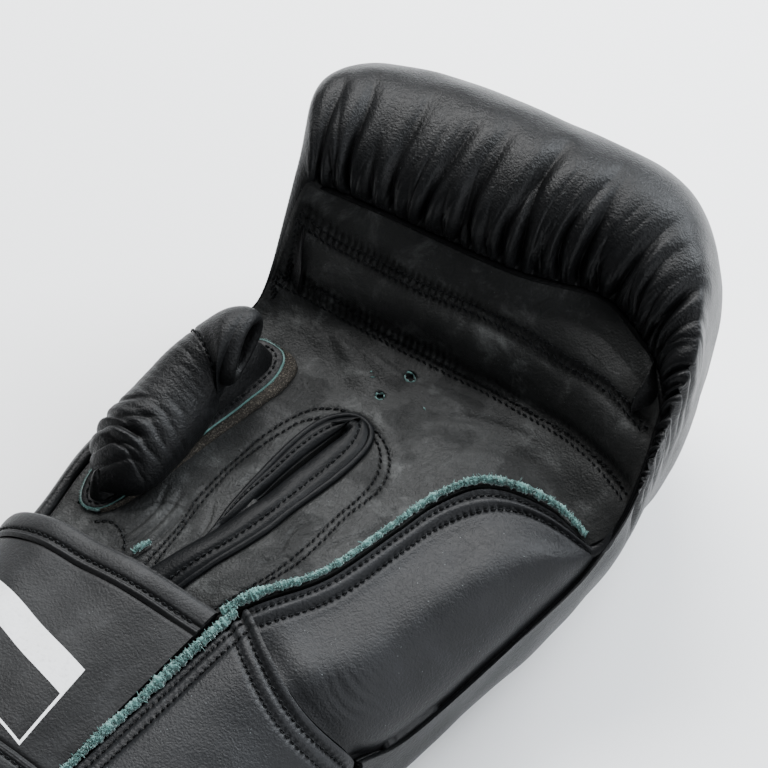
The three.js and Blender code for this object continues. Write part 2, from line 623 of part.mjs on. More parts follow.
function strapPieces() {
  const top = SEAM_GAP + STRAP_THICKNESS;
  const bindingLow = top + SEAM_GAP;
  const bindingHigh = bindingLow + BINDING_THICKNESS;
  const lowerFrom = STRAP_WIDTH - STRAP_OVERLAP - BINDING_WIDTH;
  const binding = { width: BINDING_WIDTH, low: bindingLow, high: bindingHigh, bands: 1 };
  return [
    strapBand('wrist_strap', DARK_LEATHER,
      { from: -STRAP_OVERLAP, width: STRAP_WIDTH, low: SEAM_GAP, high: top, bands: 3 }),
    strapBand('strap_binding_top', SATIN_BINDING, { ...binding, from: -STRAP_OVERLAP }),
    strapBand('strap_binding_bottom', SATIN_BINDING, { ...binding, from: lowerFrom }),
  ];
}

// Raw suede edges that stand on the seams

function standingEdge(name, points, base, height) {
  const grid = (side) => points.map((point, i) => {
    const next = points[Math.min(i + 1, points.length - 1)];
    const before = points[Math.max(i - 1, 0)];
    const along = new THREE.Vector3().subVectors(next, before).setZ(0).normalize();
    const left = new THREE.Vector3(-along.y, along.x, 0);
    const shift = SEAM_GAP + side * RAW_EDGE_WIDTH;
    return [base, base + height].map((z) => point.clone().addScaledVector(left, shift)
      .setZ(point.z + z));
  });
  return wall(name, TEAL_SUEDE, grid(1), grid(0));
}

function rawEdges() {
  const sideMarks = evenly(sideSeamPoint, SIDE_SEAM_CUFF - 0.45, SIDE_SEAM_END - 0.4, 26);
  const cuffLine = range(8).map((share) => cuffPoint(0, mix(0.09, 1, share) * CUFF_LENGTH, 0));
  return [
    standingEdge('raw_edge_side', sideMarks.map(sideSeamPoint), 3 * SEAM_GAP, RAW_EDGE_HEIGHT),
    standingEdge('raw_edge_cuff', [...cuffLine].reverse(), -0.6 * RAW_EDGE_HEIGHT, 1.6 * RAW_EDGE_HEIGHT),
  ];
}

// Thumb: the sleeve, its turned rim, the stitched flange on the palm and the felt beside it

function thumbFrame(at) {
  const yaw = radians(between(THUMB_SPINE, 'yaw', at));
  const tilt = radians(between(THUMB_SPINE, 'tilt', at));
  const forward = new THREE.Vector3(Math.sin(yaw), Math.cos(yaw), 0);
  const side = new THREE.Vector3(Math.cos(yaw), -Math.sin(yaw), 0).multiplyScalar(Math.cos(tilt));
  side.z = Math.sin(tilt);
  const up = new THREE.Vector3().crossVectors(side, forward);
  return { centre: placeOn(THUMB_SPINE, at), forward, side, up };
}

function thumbPoint(at, angle, grow) {
  const { centre, side, up } = thumbFrame(at);
  const wide = between(THUMB_SPINE, 'wide', at) * THUMB_RADIUS + grow;
  const tall = between(THUMB_SPINE, 'tall', at) * THUMB_RADIUS + grow;
  const point = centre.addScaledVector(side, Math.cos(angle) * wide)
    .addScaledVector(up, Math.sin(angle) * tall);
  const seat = THUMB_SEAT * CREST_HEIGHT;
  return point.setZ(Math.max(point.z, seat - (grow < 0 ? grow : 0)));
}

function thumbSleeve() {
  const sides = 18;
  const around = range(sides).map((_, j) => (j % sides) / sides * 2 * Math.PI);
  const end = THUMB_SPINE.length - 1;
  const marks = range(14).map((share) => share * (end - 1));
  const behindRim = thumbFrame(end).forward.multiplyScalar(-THUMB_RIM_RADIUS - SEAM_GAP);
  const grid = (grow) => [
    ...marks.map((at) => around.map((angle) => thumbPoint(at, angle, grow))),
    around.map((angle) => thumbPoint(end, angle, grow).add(behindRim)),
  ];
  const outer = grid(0);
  const inner = grid(-THUMB_LEATHER);
  const overOpening = (i, j) => i >= 3 && i <= 7 && j >= 11 && j <= 15;
  return wall('thumb_sleeve', BLACK_LEATHER, outer, inner, (i, j) => !overOpening(i, j));
}

function thumbRim() {
  const end = THUMB_SPINE.length - 1;
  const skin = new Skin();
  const around = range(20).map((_, i) => (i % 20) / 20 * 2 * Math.PI);
  const section = range(6).map((_, j) => (j % 6) / 6 * 2 * Math.PI);
  const { forward } = thumbFrame(end);
  const centre = thumbFrame(end).centre.addScaledVector(forward, THUMB_RIM_RADIUS * 0.2);
  const ring = around.map((angle) => {
    const middle = thumbPoint(end, angle, -THUMB_RIM_RADIUS * 0.4);
    const outwards = new THREE.Vector3().subVectors(middle, centre).normalize();
    return section.map((turn) => middle.clone()
      .addScaledVector(outwards, Math.cos(turn) * THUMB_RIM_RADIUS)
      .addScaledVector(forward, Math.sin(turn) * THUMB_RIM_RADIUS));
  });
  ring.slice(1).forEach((points, i) => skin.band(ring[i], points));
  return skin.mesh('thumb_hole_rim', BLACK_LEATHER);
}

// A place on the palm on the flange's oval, grown by a width in millimetres
function flangePlace(angle, grow, lift) {
  const round = (value) => Math.sign(value) * Math.abs(value) ** 0.8;
  const width = palmWidth(FLANGE.v);
  const u = FLANGE.u + round(Math.cos(angle)) * (FLANGE.across + grow / width);
  const v = FLANGE.v + round(Math.sin(angle)) * (FLANGE.along + grow / WRIST_REACH * 0.72);
  const point = palmPoint(Math.max(u, 0.012), v);
  return point.setZ(point.z + lift);
}

function thumbFlange() {
  const around = range(26).map((_, i) => (i % 26) / 26 * 2 * Math.PI);
  const grid = (lift) => around.map((angle) => [0, 1].map((share) => flangePlace(angle,
    (share - 1) * FLANGE_WIDTH, lift)));
  const skin = new Skin();
  const top = grid(SEAM_GAP + FLANGE_THICKNESS);
  const bottom = grid(SEAM_GAP);
  around.slice(1).forEach((_, i) => {
    skin.quad(top[i][0], top[i + 1][0], top[i + 1][1], top[i][1]);
    skin.quad(bottom[i][1], bottom[i + 1][1], bottom[i + 1][0], bottom[i][0]);
    skin.quad(bottom[i][0], bottom[i + 1][0], top[i + 1][0], top[i][0]);
    skin.quad(top[i][1], top[i + 1][1], bottom[i + 1][1], bottom[i][1]);
  });
  return skin.mesh('thumb_flange', BLACK_LEATHER);
}

function thumbFelt() {
  const around = range(12).map((share) => mix(-0.3 * Math.PI, 0.4 * Math.PI, share));
  const width = (share) => FELT_WIDTH * (0.25 + 0.75 * Math.sin(0.5 * Math.PI * share));
  const grid = (lift) => around.map((angle, i) => [0, 1].map((side) => flangePlace(angle,
    2 * SEAM_GAP + side * width(i / 12), lift)));
  return wall('thumb_felt', GREY_FELT, grid(SEAM_GAP + FELT_THICKNESS), grid(SEAM_GAP));
}

function strapTab() {
  const geometry = new THREE.BoxGeometry(TAB_WIDTH, TAB_LENGTH, TAB_THICKNESS);
  const mesh = new THREE.Mesh(geometry, new THREE.MeshStandardMaterial(TEAL_SUEDE));
  mesh.name = 'strap_tab';
  mesh.position.copy(palmPoint(TAB.u, TAB.v));
  mesh.position.z += TAB_THICKNESS + SEAM_GAP;
  return mesh;
}

const glove = new THREE.Group();
glove.add(backPad(), palmPanel(), ...slitLips(), sidePad(), cuffPad(), ...strapPieces(), ...rawEdges(),
  thumbSleeve(), thumbRim(), thumbFlange(), thumbFelt(), strapTab());

export default glove;
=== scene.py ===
"""Looks of an open-thumb leather bag glove for the left hand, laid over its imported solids."""

import math

import bpy
import numpy as np
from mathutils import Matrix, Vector
from mathutils.bvhtree import BVHTree


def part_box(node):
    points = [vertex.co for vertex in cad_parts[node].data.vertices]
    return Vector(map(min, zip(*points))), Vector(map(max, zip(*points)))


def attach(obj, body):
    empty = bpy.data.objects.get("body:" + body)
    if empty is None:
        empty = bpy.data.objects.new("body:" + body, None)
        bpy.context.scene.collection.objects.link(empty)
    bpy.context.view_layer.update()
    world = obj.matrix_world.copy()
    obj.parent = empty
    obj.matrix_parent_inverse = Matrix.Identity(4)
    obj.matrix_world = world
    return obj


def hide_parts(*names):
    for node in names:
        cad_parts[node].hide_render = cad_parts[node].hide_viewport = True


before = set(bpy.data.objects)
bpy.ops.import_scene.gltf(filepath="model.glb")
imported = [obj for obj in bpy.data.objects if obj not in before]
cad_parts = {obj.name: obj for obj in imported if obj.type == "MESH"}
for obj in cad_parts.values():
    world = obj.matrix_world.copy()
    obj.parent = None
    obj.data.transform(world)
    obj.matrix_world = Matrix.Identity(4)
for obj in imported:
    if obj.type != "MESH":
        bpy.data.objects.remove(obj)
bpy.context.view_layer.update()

bl_info = {
    "name": "Bag Glove",
    "version": (1, 0, 0),
    "blender": (4, 5, 0),
    "location": "View3D > Sidebar > Glove",
    "description": "Builds the leather, seams and raw edges of a padded bag glove",
    "category": "Object",
}

MM = 0.001

# Driving sizes of the glove, in millimetres, the same as the solids'
HALF_WIDTH = 80.0
REACH = 100.0
CREST_HEIGHT = 125.0
LEATHER = 2.4
BACK_PADDING = 26.0
SIDE_PADDING = 13.0
GRIP_ROLL = 3.2
SEAM_GAP = 0.4
CUFF_SEAM_SAG = 9.0
CUFF_LENGTH = 78.0
MOUTH_HALF_WIDTH = 70.0
MOUTH_HEIGHT = 62.0
CUFF_PADDING = 13.0
STRAP_WIDTH = 76.0
STRAP_THICKNESS = 2.6
STRAP_OVERLAP = 8.0
BINDING_WIDTH = 8.0
SLIT_WIDTH = 5.0
THUMB_RADIUS = 12.5
FELT_WIDTH = 5.5

TAU = 2 * math.pi
UP = np.array([0.0, 0.0, 1.0])


def table(columns, *rows):
    """A table with named columns: a dictionary of the columns' values."""
    return {name: np.array([row[i] for row in rows], float) for i, name in enumerate(columns.split())}


# Rim of the back pad, from the wrist on the little-finger side round the finger roll to the wrist on
# the thumb side, as shares of the half width, the reach and the crest height, with its section outwards
RIM = table(
    "x y z turn crest crest_z waist waist_z foot sole pad_top pad_side",
    (0.688, -1.0, 0.34, 0, 0.02, 0.35, 0.025, 0.2, -0.22, 0.042, 0.15, 0.5),
    (0.775, -0.8, 0.3, 0, 0.02, 0.31, 0.02, 0.2, -0.26, 0.02, 0.15, 0.5),
    (0.975, -0.26, 0.384, 0, 0.01, 0.392, -0.005, 0.27, -0.3, 0, 0.15, 0.5),
    (1.034, -0.08, 0.456, 2, 0.004, 0.462, -0.015, 0.33, -0.32, 0, 0.15, 0.5),
    (1.059, 0.05, 0.56, 6, 0.01, 0.58, -0.002, 0.42, -0.33, 0, 0.16, 0.55),
    (1.015, 0.255, 0.672, 25, 0.035, 0.745, 0.035, 0.5, -0.28, 0, 0.4, 0.65),
    (0.979, 0.311, 0.704, 40, 0.07, 0.805, 0.085, 0.53, -0.24, 0, 0.5, 0.7),
    (0.894, 0.384, 0.728, 60, 0.13, 0.87, 0.2, 0.56, -0.18, 0, 0.6, 0.8),
    (0.796, 0.427, 0.752, 74, 0.185, 0.92, 0.365, 0.58, -0.1, 0, 0.7, 0.9),
    (0.585, 0.478, 0.768, 83, 0.215, 0.97, 0.51, 0.59, 0, 0, 0.75, 1),
    (0.241, 0.404, 0.784, 90, 0.25, 1, 0.61, 0.61, 0.06, 0, 0.75, 1),
    (-0.356, 0.359, 0.808, 97, 0.275, 0.985, 0.61, 0.625, 0.08, 0, 0.75, 1),
    (-0.568, 0.325, 0.816, 118, 0.23, 0.955, 0.47, 0.64, 0, 0, 0.7, 0.9),
    (-0.6, 0.27, 0.76, 132, 0.07, 0.84, 0.13, 0.58, -0.04, 0, 0.5, 0.7),
    (-0.635, 0.087, 0.536, 168, 0.01, 0.55, 0.02, 0.4, -0.1, 0, 0.2, 0.6),
    (-0.713, -0.1, 0.48, 178, 0.02, 0.5, 0.08, 0.32, -0.18, 0, 0.15, 0.5),
    (-0.8, -0.6, 0.464, 181, 0.02, 0.48, 0.085, 0.28, -0.2, 0.004, 0.15, 0.5),
    (-0.79, -0.86, 0.456, 180, 0.02, 0.47, 0.085, 0.28, -0.19, 0.042, 0.15, 0.5),
    (-0.775, -1.0, 0.456, 180, 0.02, 0.47, 0.095, 0.28, -0.18, 0.042, 0.15, 0.5),
)
RIM_SIDE_TIP = 3
RIM_LITTLE_CORNER = 6
RIM_INDEX_CORNER = 12

# Seam of the palm with the side pad, from under the strap to the pad's tip
SIDE_SEAM = table(
    "x y z",
    (0.03, -0.997, 0.49),
    (0.11, -0.86, 0.545),
    (0.285, -0.66, 0.55),
    (0.39, -0.41, 0.545),
    (0.447, -0.26, 0.538),
    (0.565, -0.128, 0.535),
    (0.795, -0.075, 0.51),
    (1.0, -0.092, 0.458),
)
SIDE_SEAM_CUFF = 1
SIDE_SEAM_END = 7

# Rows of the palm from the wrist to the finger seam
PALM_ROWS = table(
    "v left right x y z",
    (0, 18, 0, -0.36, -0.997, 0.485),
    (0.2, 16.8, 1.6, -0.28, -0.74, 0.506),
    (0.42, 15.7, 3.2, -0.17, -0.4, 0.506),
    (0.6, 14.8, 5, -0.01, -0.12, 0.508),
    (0.72, 14.3, 6.4, 0.08, 0.05, 0.518),
    (0.8, 14, 8, 0.13, 0.17, 0.548),
    (0.9, 13.3, 9, 0.18, 0.3, 0.7),
    (1, 12, 10, 0.23, 0.403, 0.786),
)
CREASE_LOW = 0.8
CREASE_HIGH = 0.92
SLIT_TOP = 0.58

# Ring of the cuff, as shares at the wrist and at the mouth
CUFF_RING = table(
    "x z mouth_x mouth_z",
    (0.061, 0.552, -0.13, 0.999),
    (0.289, 0.599, 0.11, 1.078),
    (0.551, 0.56, 0.42, 1.056),
    (0.665, 0.459, 0.65, 0.892),
    (0.7, 0.342, 0.74, 0.621),
    (0.726, 0.168, 0.72, 0.294),
    (0.499, 0.048, 0.46, 0.085),
    (0, 0.038, -0.08, 0.077),
    (-0.56, 0.042, -0.68, 0.085),
    (-0.814, 0.112, -0.94, 0.226),
    (-0.936, 0.286, -1.05, 0.542),
    (-0.875, 0.431, -0.97, 0.813),
    (-0.691, 0.515, -0.75, 0.96),
    (-0.499, 0.521, -0.57, 0.977),
)
CUFF_LAST = 13
CUFF_PINKY_ROW = 4
STRAP_FIRST_ROW = 7
STRAP_CROSSING = table(
    "x z mouth_x mouth_z",
    (-0.289, 0.538, -0.38, 0.994),
    (-0.026, 0.518, -0.2, 0.937),
)
STRAP_RING = {
    name: np.concatenate([CUFF_RING[name][STRAP_FIRST_ROW:], STRAP_CROSSING[name]]) for name in CUFF_RING
}
STRAP_LAST = 8

# Spine of the thumb
THUMB_SPINE = table(
    "x y z yaw tilt wide tall",
    (-0.62, -0.72, 0.526, 0, 0, 0.6, 0.45),
    (-0.62, -0.64, 0.54, 0, 0, 0.9, 0.75),
    (-0.615, -0.5, 0.553, 0, 0, 1, 0.93),
    (-0.61, -0.34, 0.58, 8, -4, 0.95, 1),
    (-0.58, -0.25, 0.62, 45, -18, 0.9, 0.9),
    (-0.47, -0.2, 0.665, 84, -30, 0.98, 0.62),
)
THUMB_END = 5
THUMB_SEAT = 0.505
FLANGE = {"u": 0.127, "v": 0.413, "across": 0.103, "along": 0.222}

# Lines on the palm, in plan millimetres: x towards the little finger, y towards the fingertips
GRIP_LINE = (
    (-50, 25.5), (-36, 27), (-22, 27.7), (-5, 28.3), (15, 30), (35, 31.5), (57, 29.8), (70, 26.5), (81, 22.5),
)
CREASE_LINE = (
    (-53, 14.5), (-40, 16.8), (-26, 17.8), (-12, 18), (10, 18.3), (31, 18.6), (54, 16.8), (71, 12.4),
    (84, 6.5),
)
TEARDROP_LINE = (
    (-27, -95), (-27, -88), (-26, -73), (-27.5, -60), (-25.5, -42), (-22, -27), (-17, -16.5), (-11, -12),
    (-5, -10.5), (3, -11.5), (12, -16.5), (17, -24), (18, -32), (15.5, -43), (14.5, -55), (13, -65),
    (9.5, -75), (5, -86), (0, -95),
)
TEARDROP_INNER_LINE = (
    (-24.5, -95), (-24.5, -88), (-24.5, -75), (-25.5, -60), (-24, -44), (-20, -30), (-16.5, -21.5),
    (-10.5, -15.5), (-4, -13.4), (5, -14.5), (11, -19), (14.5, -26), (15, -34), (13, -46), (12, -57),
    (10, -67), (7.5, -76), (3, -86), (-2, -95),
)
LIP_RIDGE_LINE = (
    (-21, -95), (-17, -82), (-15.5, -70), (-16.3, -58), (-15.5, -45), (-14.2, -31), (-11.5, -19),
    (-6.5, -12.5), (-1, -10.8), (3.5, -12.6), (6.2, -17.5), (6.3, -24), (4.7, -34), (1, -48), (-2.5, -63),
    (-8, -77), (-15.5, -95),
)
LIP_INNER_LINE = (
    (-0.3, -15.3), (-4.2, -29), (-6.3, -39), (-8, -47.5), (-12, -60), (-16.7, -72.5), (-24, -88), (-27, -95),
)
WRIST_LINE = ((-51, -84), (-45, -81), (-38, -84), (-33, -92))
GAP_LINE = ((-2.4, -17.5), (-4.6, -23), (-6.3, -29), (-8.2, -38), (-9.6, -45), (-11, -51))
PUNCHED_HOLES = ((3.4, 9.6, 2.1), (-1.0, -0.8, 1.6))


# Curves and surfaces of the solids, as numpy functions

def between(rows, column, at):
    """Values of a column at row numbers, smooth through the rows."""
    values = rows[column]
    last = len(values) - 1
    at = np.asarray(at, float)
    i = np.clip(np.floor(at).astype(int), 0, last - 1)
    t = at - i
    start, end = values[i], values[i + 1]
    before = np.where(i > 0, values[np.maximum(i - 1, 0)], 2 * start - end)
    after = np.where(i + 2 <= last, values[np.minimum(i + 2, last)], 2 * end - start)
    start_slope, end_slope = (end - before) / 2, (after - start) / 2
    return (start * (2 * t**3 - 3 * t**2 + 1) + start_slope * (t**3 - 2 * t**2 + t)
            + end * (3 * t**2 - 2 * t**3) + end_slope * (t**3 - t**2))


def place_on(rows, at):
    return np.stack([between(rows, "x", at) * HALF_WIDTH, between(rows, "y", at) * REACH,
                     between(rows, "z", at) * CREST_HEIGHT], axis=-1)


def mix(a, b, share):
    return a + (b - a) * share


def smoothstep(value, low, high):
    t = np.clip((np.asarray(value, float) - low) / (high - low), 0, 1)
    return t * t * (3 - 2 * t)


def window(value, begin, full, fall, end):
    """A share that rises to one from begin to full, and falls again from fall to end."""
    return smoothstep(value, begin, full) * smoothstep(value, end, fall)


def unit(vectors):
    return vectors / np.maximum(np.linalg.norm(vectors, axis=-1, keepdims=True), 1e-9)


def facing_up(vectors):
    return np.where(vectors[..., 2:] < 0, -vectors, vectors)


def grid_cells(rows, columns):
    """Corner numbers of the cells between a grid's points."""
    number = np.arange(rows * columns).reshape(rows, columns)
    return np.stack([number[:-1, :-1], number[:-1, 1:], number[1:, 1:], number[1:, :-1]], axis=-1)


def evenly(curve, start, end, count):
    """Row numbers that divide a curve into equal lengths."""
    marks = np.linspace(start, end, 481)
    steps = np.linalg.norm(np.diff(curve(marks), axis=0), axis=1)
    lengths = np.concatenate([[0], np.cumsum(steps)])
    return np.interp(np.linspace(0, lengths[-1], count + 1), lengths, marks)


def arc_lengths(points):
    """Running length along a row of points."""
    steps = np.linalg.norm(np.diff(points, axis=0), axis=-1)
    return np.concatenate([np.zeros((1,) + steps.shape[1:]), np.cumsum(steps, axis=0)])


def at_lengths(values, lengths, where):
    """Rows of values at running lengths."""
    return np.stack([np.interp(where, lengths, values[:, k]) for k in range(values.shape[1])], axis=-1)


def stretched(line, count):
    """A line's points spread over a number of places."""
    return at_lengths(line, np.linspace(0, 1, len(line)), np.linspace(0, 1, count))


def resampled(points, spacing=0.5):
    """A polyline rounded with a Catmull-Rom curve and cut into equal steps."""
    points = np.asarray(points, float)
    rows = {str(k): points[:, k] for k in range(points.shape[1])}
    curve = lambda at: np.stack([between(rows, str(k), at) for k in range(points.shape[1])], axis=-1)
    last = len(points) - 1
    length = arc_lengths(curve(np.linspace(0, last, 40 * last)))[-1]
    return curve(evenly(curve, 0, last, max(2, int(round(length / spacing)))))


def grid_normals(points):
    return unit(np.cross(np.gradient(points, axis=1), np.gradient(points, axis=0)))


def ripple(points, size, seed):
    """Smooth irregular height from about -1 to 1, with waves about size millimetres long."""
    maker = np.random.default_rng(seed)
    total = np.zeros(points.shape[:-1])
    for _ in range(8):
        direction = unit(maker.normal(size=3))
        wave = size * maker.uniform(0.7, 1.6)
        total += np.sin(points @ direction * TAU / wave + maker.uniform(0, TAU))
    return total / 4.5


def line_distance(points, line):
    """Distance of each plan point from a dense line, and how far along the line the nearest point is."""
    flat = points.reshape(-1, 2).astype(np.float32)
    line = np.asarray(line, np.float32)[:, :2]
    near = np.empty(len(flat), np.float32)
    where = np.empty(len(flat), np.int32)
    for start in range(0, len(flat), 20000):
        part = flat[start:start + 20000]
        gaps = ((part[:, None, :] - line[None, :, :]) ** 2).sum(axis=2)
        where[start:start + 20000] = gaps.argmin(axis=1)
        near[start:start + 20000] = np.sqrt(gaps.min(axis=1))
    return near.reshape(points.shape[:-1]), where.reshape(points.shape[:-1])


def rim_point(at):
    return place_on(RIM, at)


def bezier(a, b, c, d, t):
    s = 1 - t
    return s**3 * a + 3 * s * s * t * b + 3 * s * t * t * c + t**3 * d


ROUND = 0.5523


def section_points(at, inside):
    """Rim, crest, waist and foot of the pad's section at rim rows, each as (out, height)."""
    rim_z = rim_point(at)[..., 2]
    length = lambda column: between(RIM, column, at) * REACH
    height = lambda column: between(RIM, column, at) * CREST_HEIGHT
    rim = (np.zeros_like(rim_z), rim_z)
    crest = (length("crest"), np.maximum(height("crest_z"), rim_z + 0.5))
    waist = (length("waist"), height("waist_z"))
    foot = (length("foot"), np.maximum(height("sole"), 0))
    if not inside:
        return rim, crest, waist, foot
    crest_pad = between(RIM, "pad_top", at) * BACK_PADDING
    side_pad = between(RIM, "pad_side", at) * BACK_PADDING
    inner_rim = (rim[0], rim_z - LEATHER)
    inner_waist = (waist[0] - side_pad, mix(BACK_PADDING, inner_rim[1], 0.35))
    in_roll = smoothstep(waist[0] / REACH, 0, 0.1)
    inner_crest = (
        mix(0.45 * inner_waist[0], np.minimum(crest[0], inner_waist[0]), in_roll),
        mix(mix(inner_rim[1], inner_waist[1], 0.55), np.maximum(crest[1] - crest_pad, inner_rim[1]), in_roll),
    )
    return inner_rim, inner_crest, inner_waist, (foot[0], np.full_like(rim_z, BACK_PADDING))


def section_point(at, t, inside):
    rim, crest, waist, foot = section_points(at, inside)
    rise = crest[1] - rim[1]
    if t <= 1:
        over = 0.1 + 0.1 * smoothstep(crest[0], 4, 20) * (not inside)
        out = bezier(rim[0], -over * rise, mix(crest[0], rim[0], ROUND), crest[0], t)
        z = bezier(rim[1], rim[1] + 0.6 * rise, crest[1], crest[1], t)
        out = np.where(rise < 0, mix(rim[0], crest[0], t), out)
        return out, np.where(rise < 0, mix(rim[1], crest[1], t), z)
    if t <= 2:
        return (bezier(crest[0], mix(crest[0], waist[0], ROUND), waist[0], waist[0], t - 1),
                bezier(crest[1], crest[1], mix(waist[1], crest[1], ROUND), waist[1], t - 1))
    return (bezier(waist[0], waist[0], mix(foot[0], waist[0], ROUND), foot[0], t - 2),
            bezier(waist[1], mix(waist[1], foot[1], ROUND), foot[1], foot[1], t - 2))


def back_point(at, t, inside=False):
    out, z = section_point(at, t, inside)
    turn = np.radians(between(RIM, "turn", at))
    point = rim_point(at)
    point[..., 0] += np.cos(turn) * (out + SEAM_GAP)
    point[..., 1] += np.sin(turn) * (out + SEAM_GAP)
    point[..., 2] = z
    return point


def side_seam_point(at):
    return place_on(SIDE_SEAM, at)


def palm_right_edge(at):
    past = at - SIDE_SEAM_END
    on_rim = rim_point(RIM_SIDE_TIP + np.maximum(past, 0.3 + 0.7 * past))
    on_seam = side_seam_point(np.minimum(at, SIDE_SEAM_END))
    return np.where((at <= SIDE_SEAM_END)[..., None], on_seam, on_rim)


FINGER_SEAM_MARKS = evenly(rim_point, RIM_INDEX_CORNER, RIM_LITTLE_CORNER, 60)


def finger_seam_point(u):
    return rim_point(np.interp(u, np.linspace(0, 1, 61), FINGER_SEAM_MARKS))


def through_three(left, middle, right, u):
    u = u[..., None]
    return 2 * (u - 0.5) * (u - 1) * left - 4 * u * (u - 1) * middle + 2 * u * (u - 0.5) * right


def palm_point(u, v):
    """Smooth surface of the palm at shares across and along it, without its grip roll."""
    u, v = np.broadcast_arrays(np.asarray(u, float), np.asarray(v, float))
    row = np.interp(v, PALM_ROWS["v"], np.arange(len(PALM_ROWS["v"])))
    left = rim_point(between(PALM_ROWS, "left", row))
    right = palm_right_edge(between(PALM_ROWS, "right", row))
    point = through_three(left, place_on(PALM_ROWS, row), right, u)
    middle = place_on(PALM_ROWS, np.array(len(PALM_ROWS["v"]) - 1.0))
    top = through_three(rim_point(RIM_INDEX_CORNER), middle, rim_point(RIM_LITTLE_CORNER), u)
    follow = smoothstep(v, 0.6, 1)[..., None]
    return point + (finger_seam_point(u) - top) * follow


def palm_width(v):
    return np.linalg.norm(palm_point(0.0, v) - palm_point(1.0, v), axis=-1)


def slit_middle(v):
    return 0.705 - 0.25 * v


def side_pad_edge(s):
    return (side_seam_point(mix(SIDE_SEAM_CUFF, SIDE_SEAM_END, s)), rim_point(RIM_SIDE_TIP * s))


def side_pad_point(s, w, height):
    """Surface of the side pad: s from the cuff to its tip, w from the palm seam to the rim."""
    s, w = np.broadcast_arrays(np.asarray(s, float), np.asarray(w, float))
    palm, back = side_pad_edge(s)
    ahead_palm, ahead_back = side_pad_edge(s + 0.04)
    along = ahead_palm + ahead_back - palm - back
    up = facing_up(unit(np.cross(palm - back, along)))
    up = up * np.stack([np.ones_like(s), smoothstep(s, 0, 0.2), np.ones_like(s)], axis=-1)
    swell = np.maximum(0, np.sin(np.pi * w)) ** 0.6
    taper = np.sqrt(np.maximum(0, 1 - s**3)) * (0.85 + 0.3 * np.sin(np.pi * s))
    point = mix(palm, back, w[..., None])
    lean = np.maximum(0, 1 - s / 0.3) ** 2
    point[..., 1] -= CUFF_SEAM_SAG * lean * np.sin(np.pi * w)
    if height == 0:
        point[..., 2] -= LEATHER
        return point
    return point + up * (height * swell * taper)[..., None]


def ring_point(rows, at, beyond):
    at, beyond = np.broadcast_arrays(np.asarray(at, float), np.asarray(beyond, float))
    share = beyond / CUFF_LENGTH
    x = mix(between(rows, "x", at) * HALF_WIDTH, between(rows, "mouth_x", at) * MOUTH_HALF_WIDTH, share)
    z = mix(between(rows, "z", at) * CREST_HEIGHT, between(rows, "mouth_z", at) * MOUTH_HEIGHT, share)
    return np.stack([x, -REACH - beyond, z], axis=-1)


def ring_out(rows, at, beyond):
    along = ring_point(rows, np.asarray(at) + 0.05, beyond) - ring_point(rows, np.asarray(at) - 0.05, beyond)
    out = np.stack([-along[..., 2], np.zeros_like(along[..., 0]), along[..., 0]], axis=-1)
    return unit(out)


def ring_offset(rows, at, beyond, distance):
    return ring_point(rows, at, beyond) + ring_out(rows, at, beyond) * np.asarray(distance)[..., None]


def cuff_point(at, beyond, distance):
    """Surface of the cuff: at round its ring, beyond from the wrist to the mouth, in millimetres."""
    at, beyond = np.broadcast_arrays(np.asarray(at, float), np.asarray(beyond, float))
    share = (beyond / CUFF_LENGTH)[..., None]
    clear = SEAM_GAP * (1 + 7 * np.exp(2 * (CUFF_PINKY_ROW - at)))
    plain = ring_offset(CUFF_RING, at, beyond + clear * (1 - share[..., 0]), distance)
    front = side_pad_point(0, at / CUFF_PINKY_ROW, 0 if distance < 0 else SIDE_PADDING)
    front[..., 1] -= 2 * SEAM_GAP
    mouth = ring_offset(CUFF_RING, at, CUFF_LENGTH, distance)
    return np.where((at >= CUFF_PINKY_ROW)[..., None], plain, mix(front, mouth, share))


def thumb_frame(at):
    yaw = np.radians(between(THUMB_SPINE, "yaw", at))
    tilt = np.radians(between(THUMB_SPINE, "tilt", at))
    forward = np.stack([np.sin(yaw), np.cos(yaw), np.zeros_like(yaw)], axis=-1)
    side = np.stack([np.cos(yaw) * np.cos(tilt), -np.sin(yaw) * np.cos(tilt), np.sin(tilt)], axis=-1)
    return place_on(THUMB_SPINE, at), forward, side, np.cross(side, forward)


def thumb_point(at, angle, grow):
    at, angle = np.broadcast_arrays(np.asarray(at, float), np.asarray(angle, float))
    centre, _, side, up = thumb_frame(at)
    wide = between(THUMB_SPINE, "wide", at) * THUMB_RADIUS + grow
    tall = between(THUMB_SPINE, "tall", at) * THUMB_RADIUS + grow
    point = centre + side * (np.cos(angle) * wide)[..., None] + up * (np.sin(angle) * tall)[..., None]
    seat = THUMB_SEAT * CREST_HEIGHT - np.minimum(grow, 0)
    point[..., 2] = np.maximum(point[..., 2], seat)
    return point


def flange_place(angle, grow):
    """Plan place on the palm's flange oval, grown by a width, as shares u and v."""
    rounded = lambda value: np.sign(value) * np.abs(value) ** 0.8
    width = palm_width(FLANGE["v"])
    u = FLANGE["u"] + rounded(np.cos(angle)) * (FLANGE["across"] + grow / width)
    v = FLANGE["v"] + rounded(np.sin(angle)) * (FLANGE["along"] + grow / REACH * 0.72)
    return np.maximum(u, 0.012), v


# Meshes

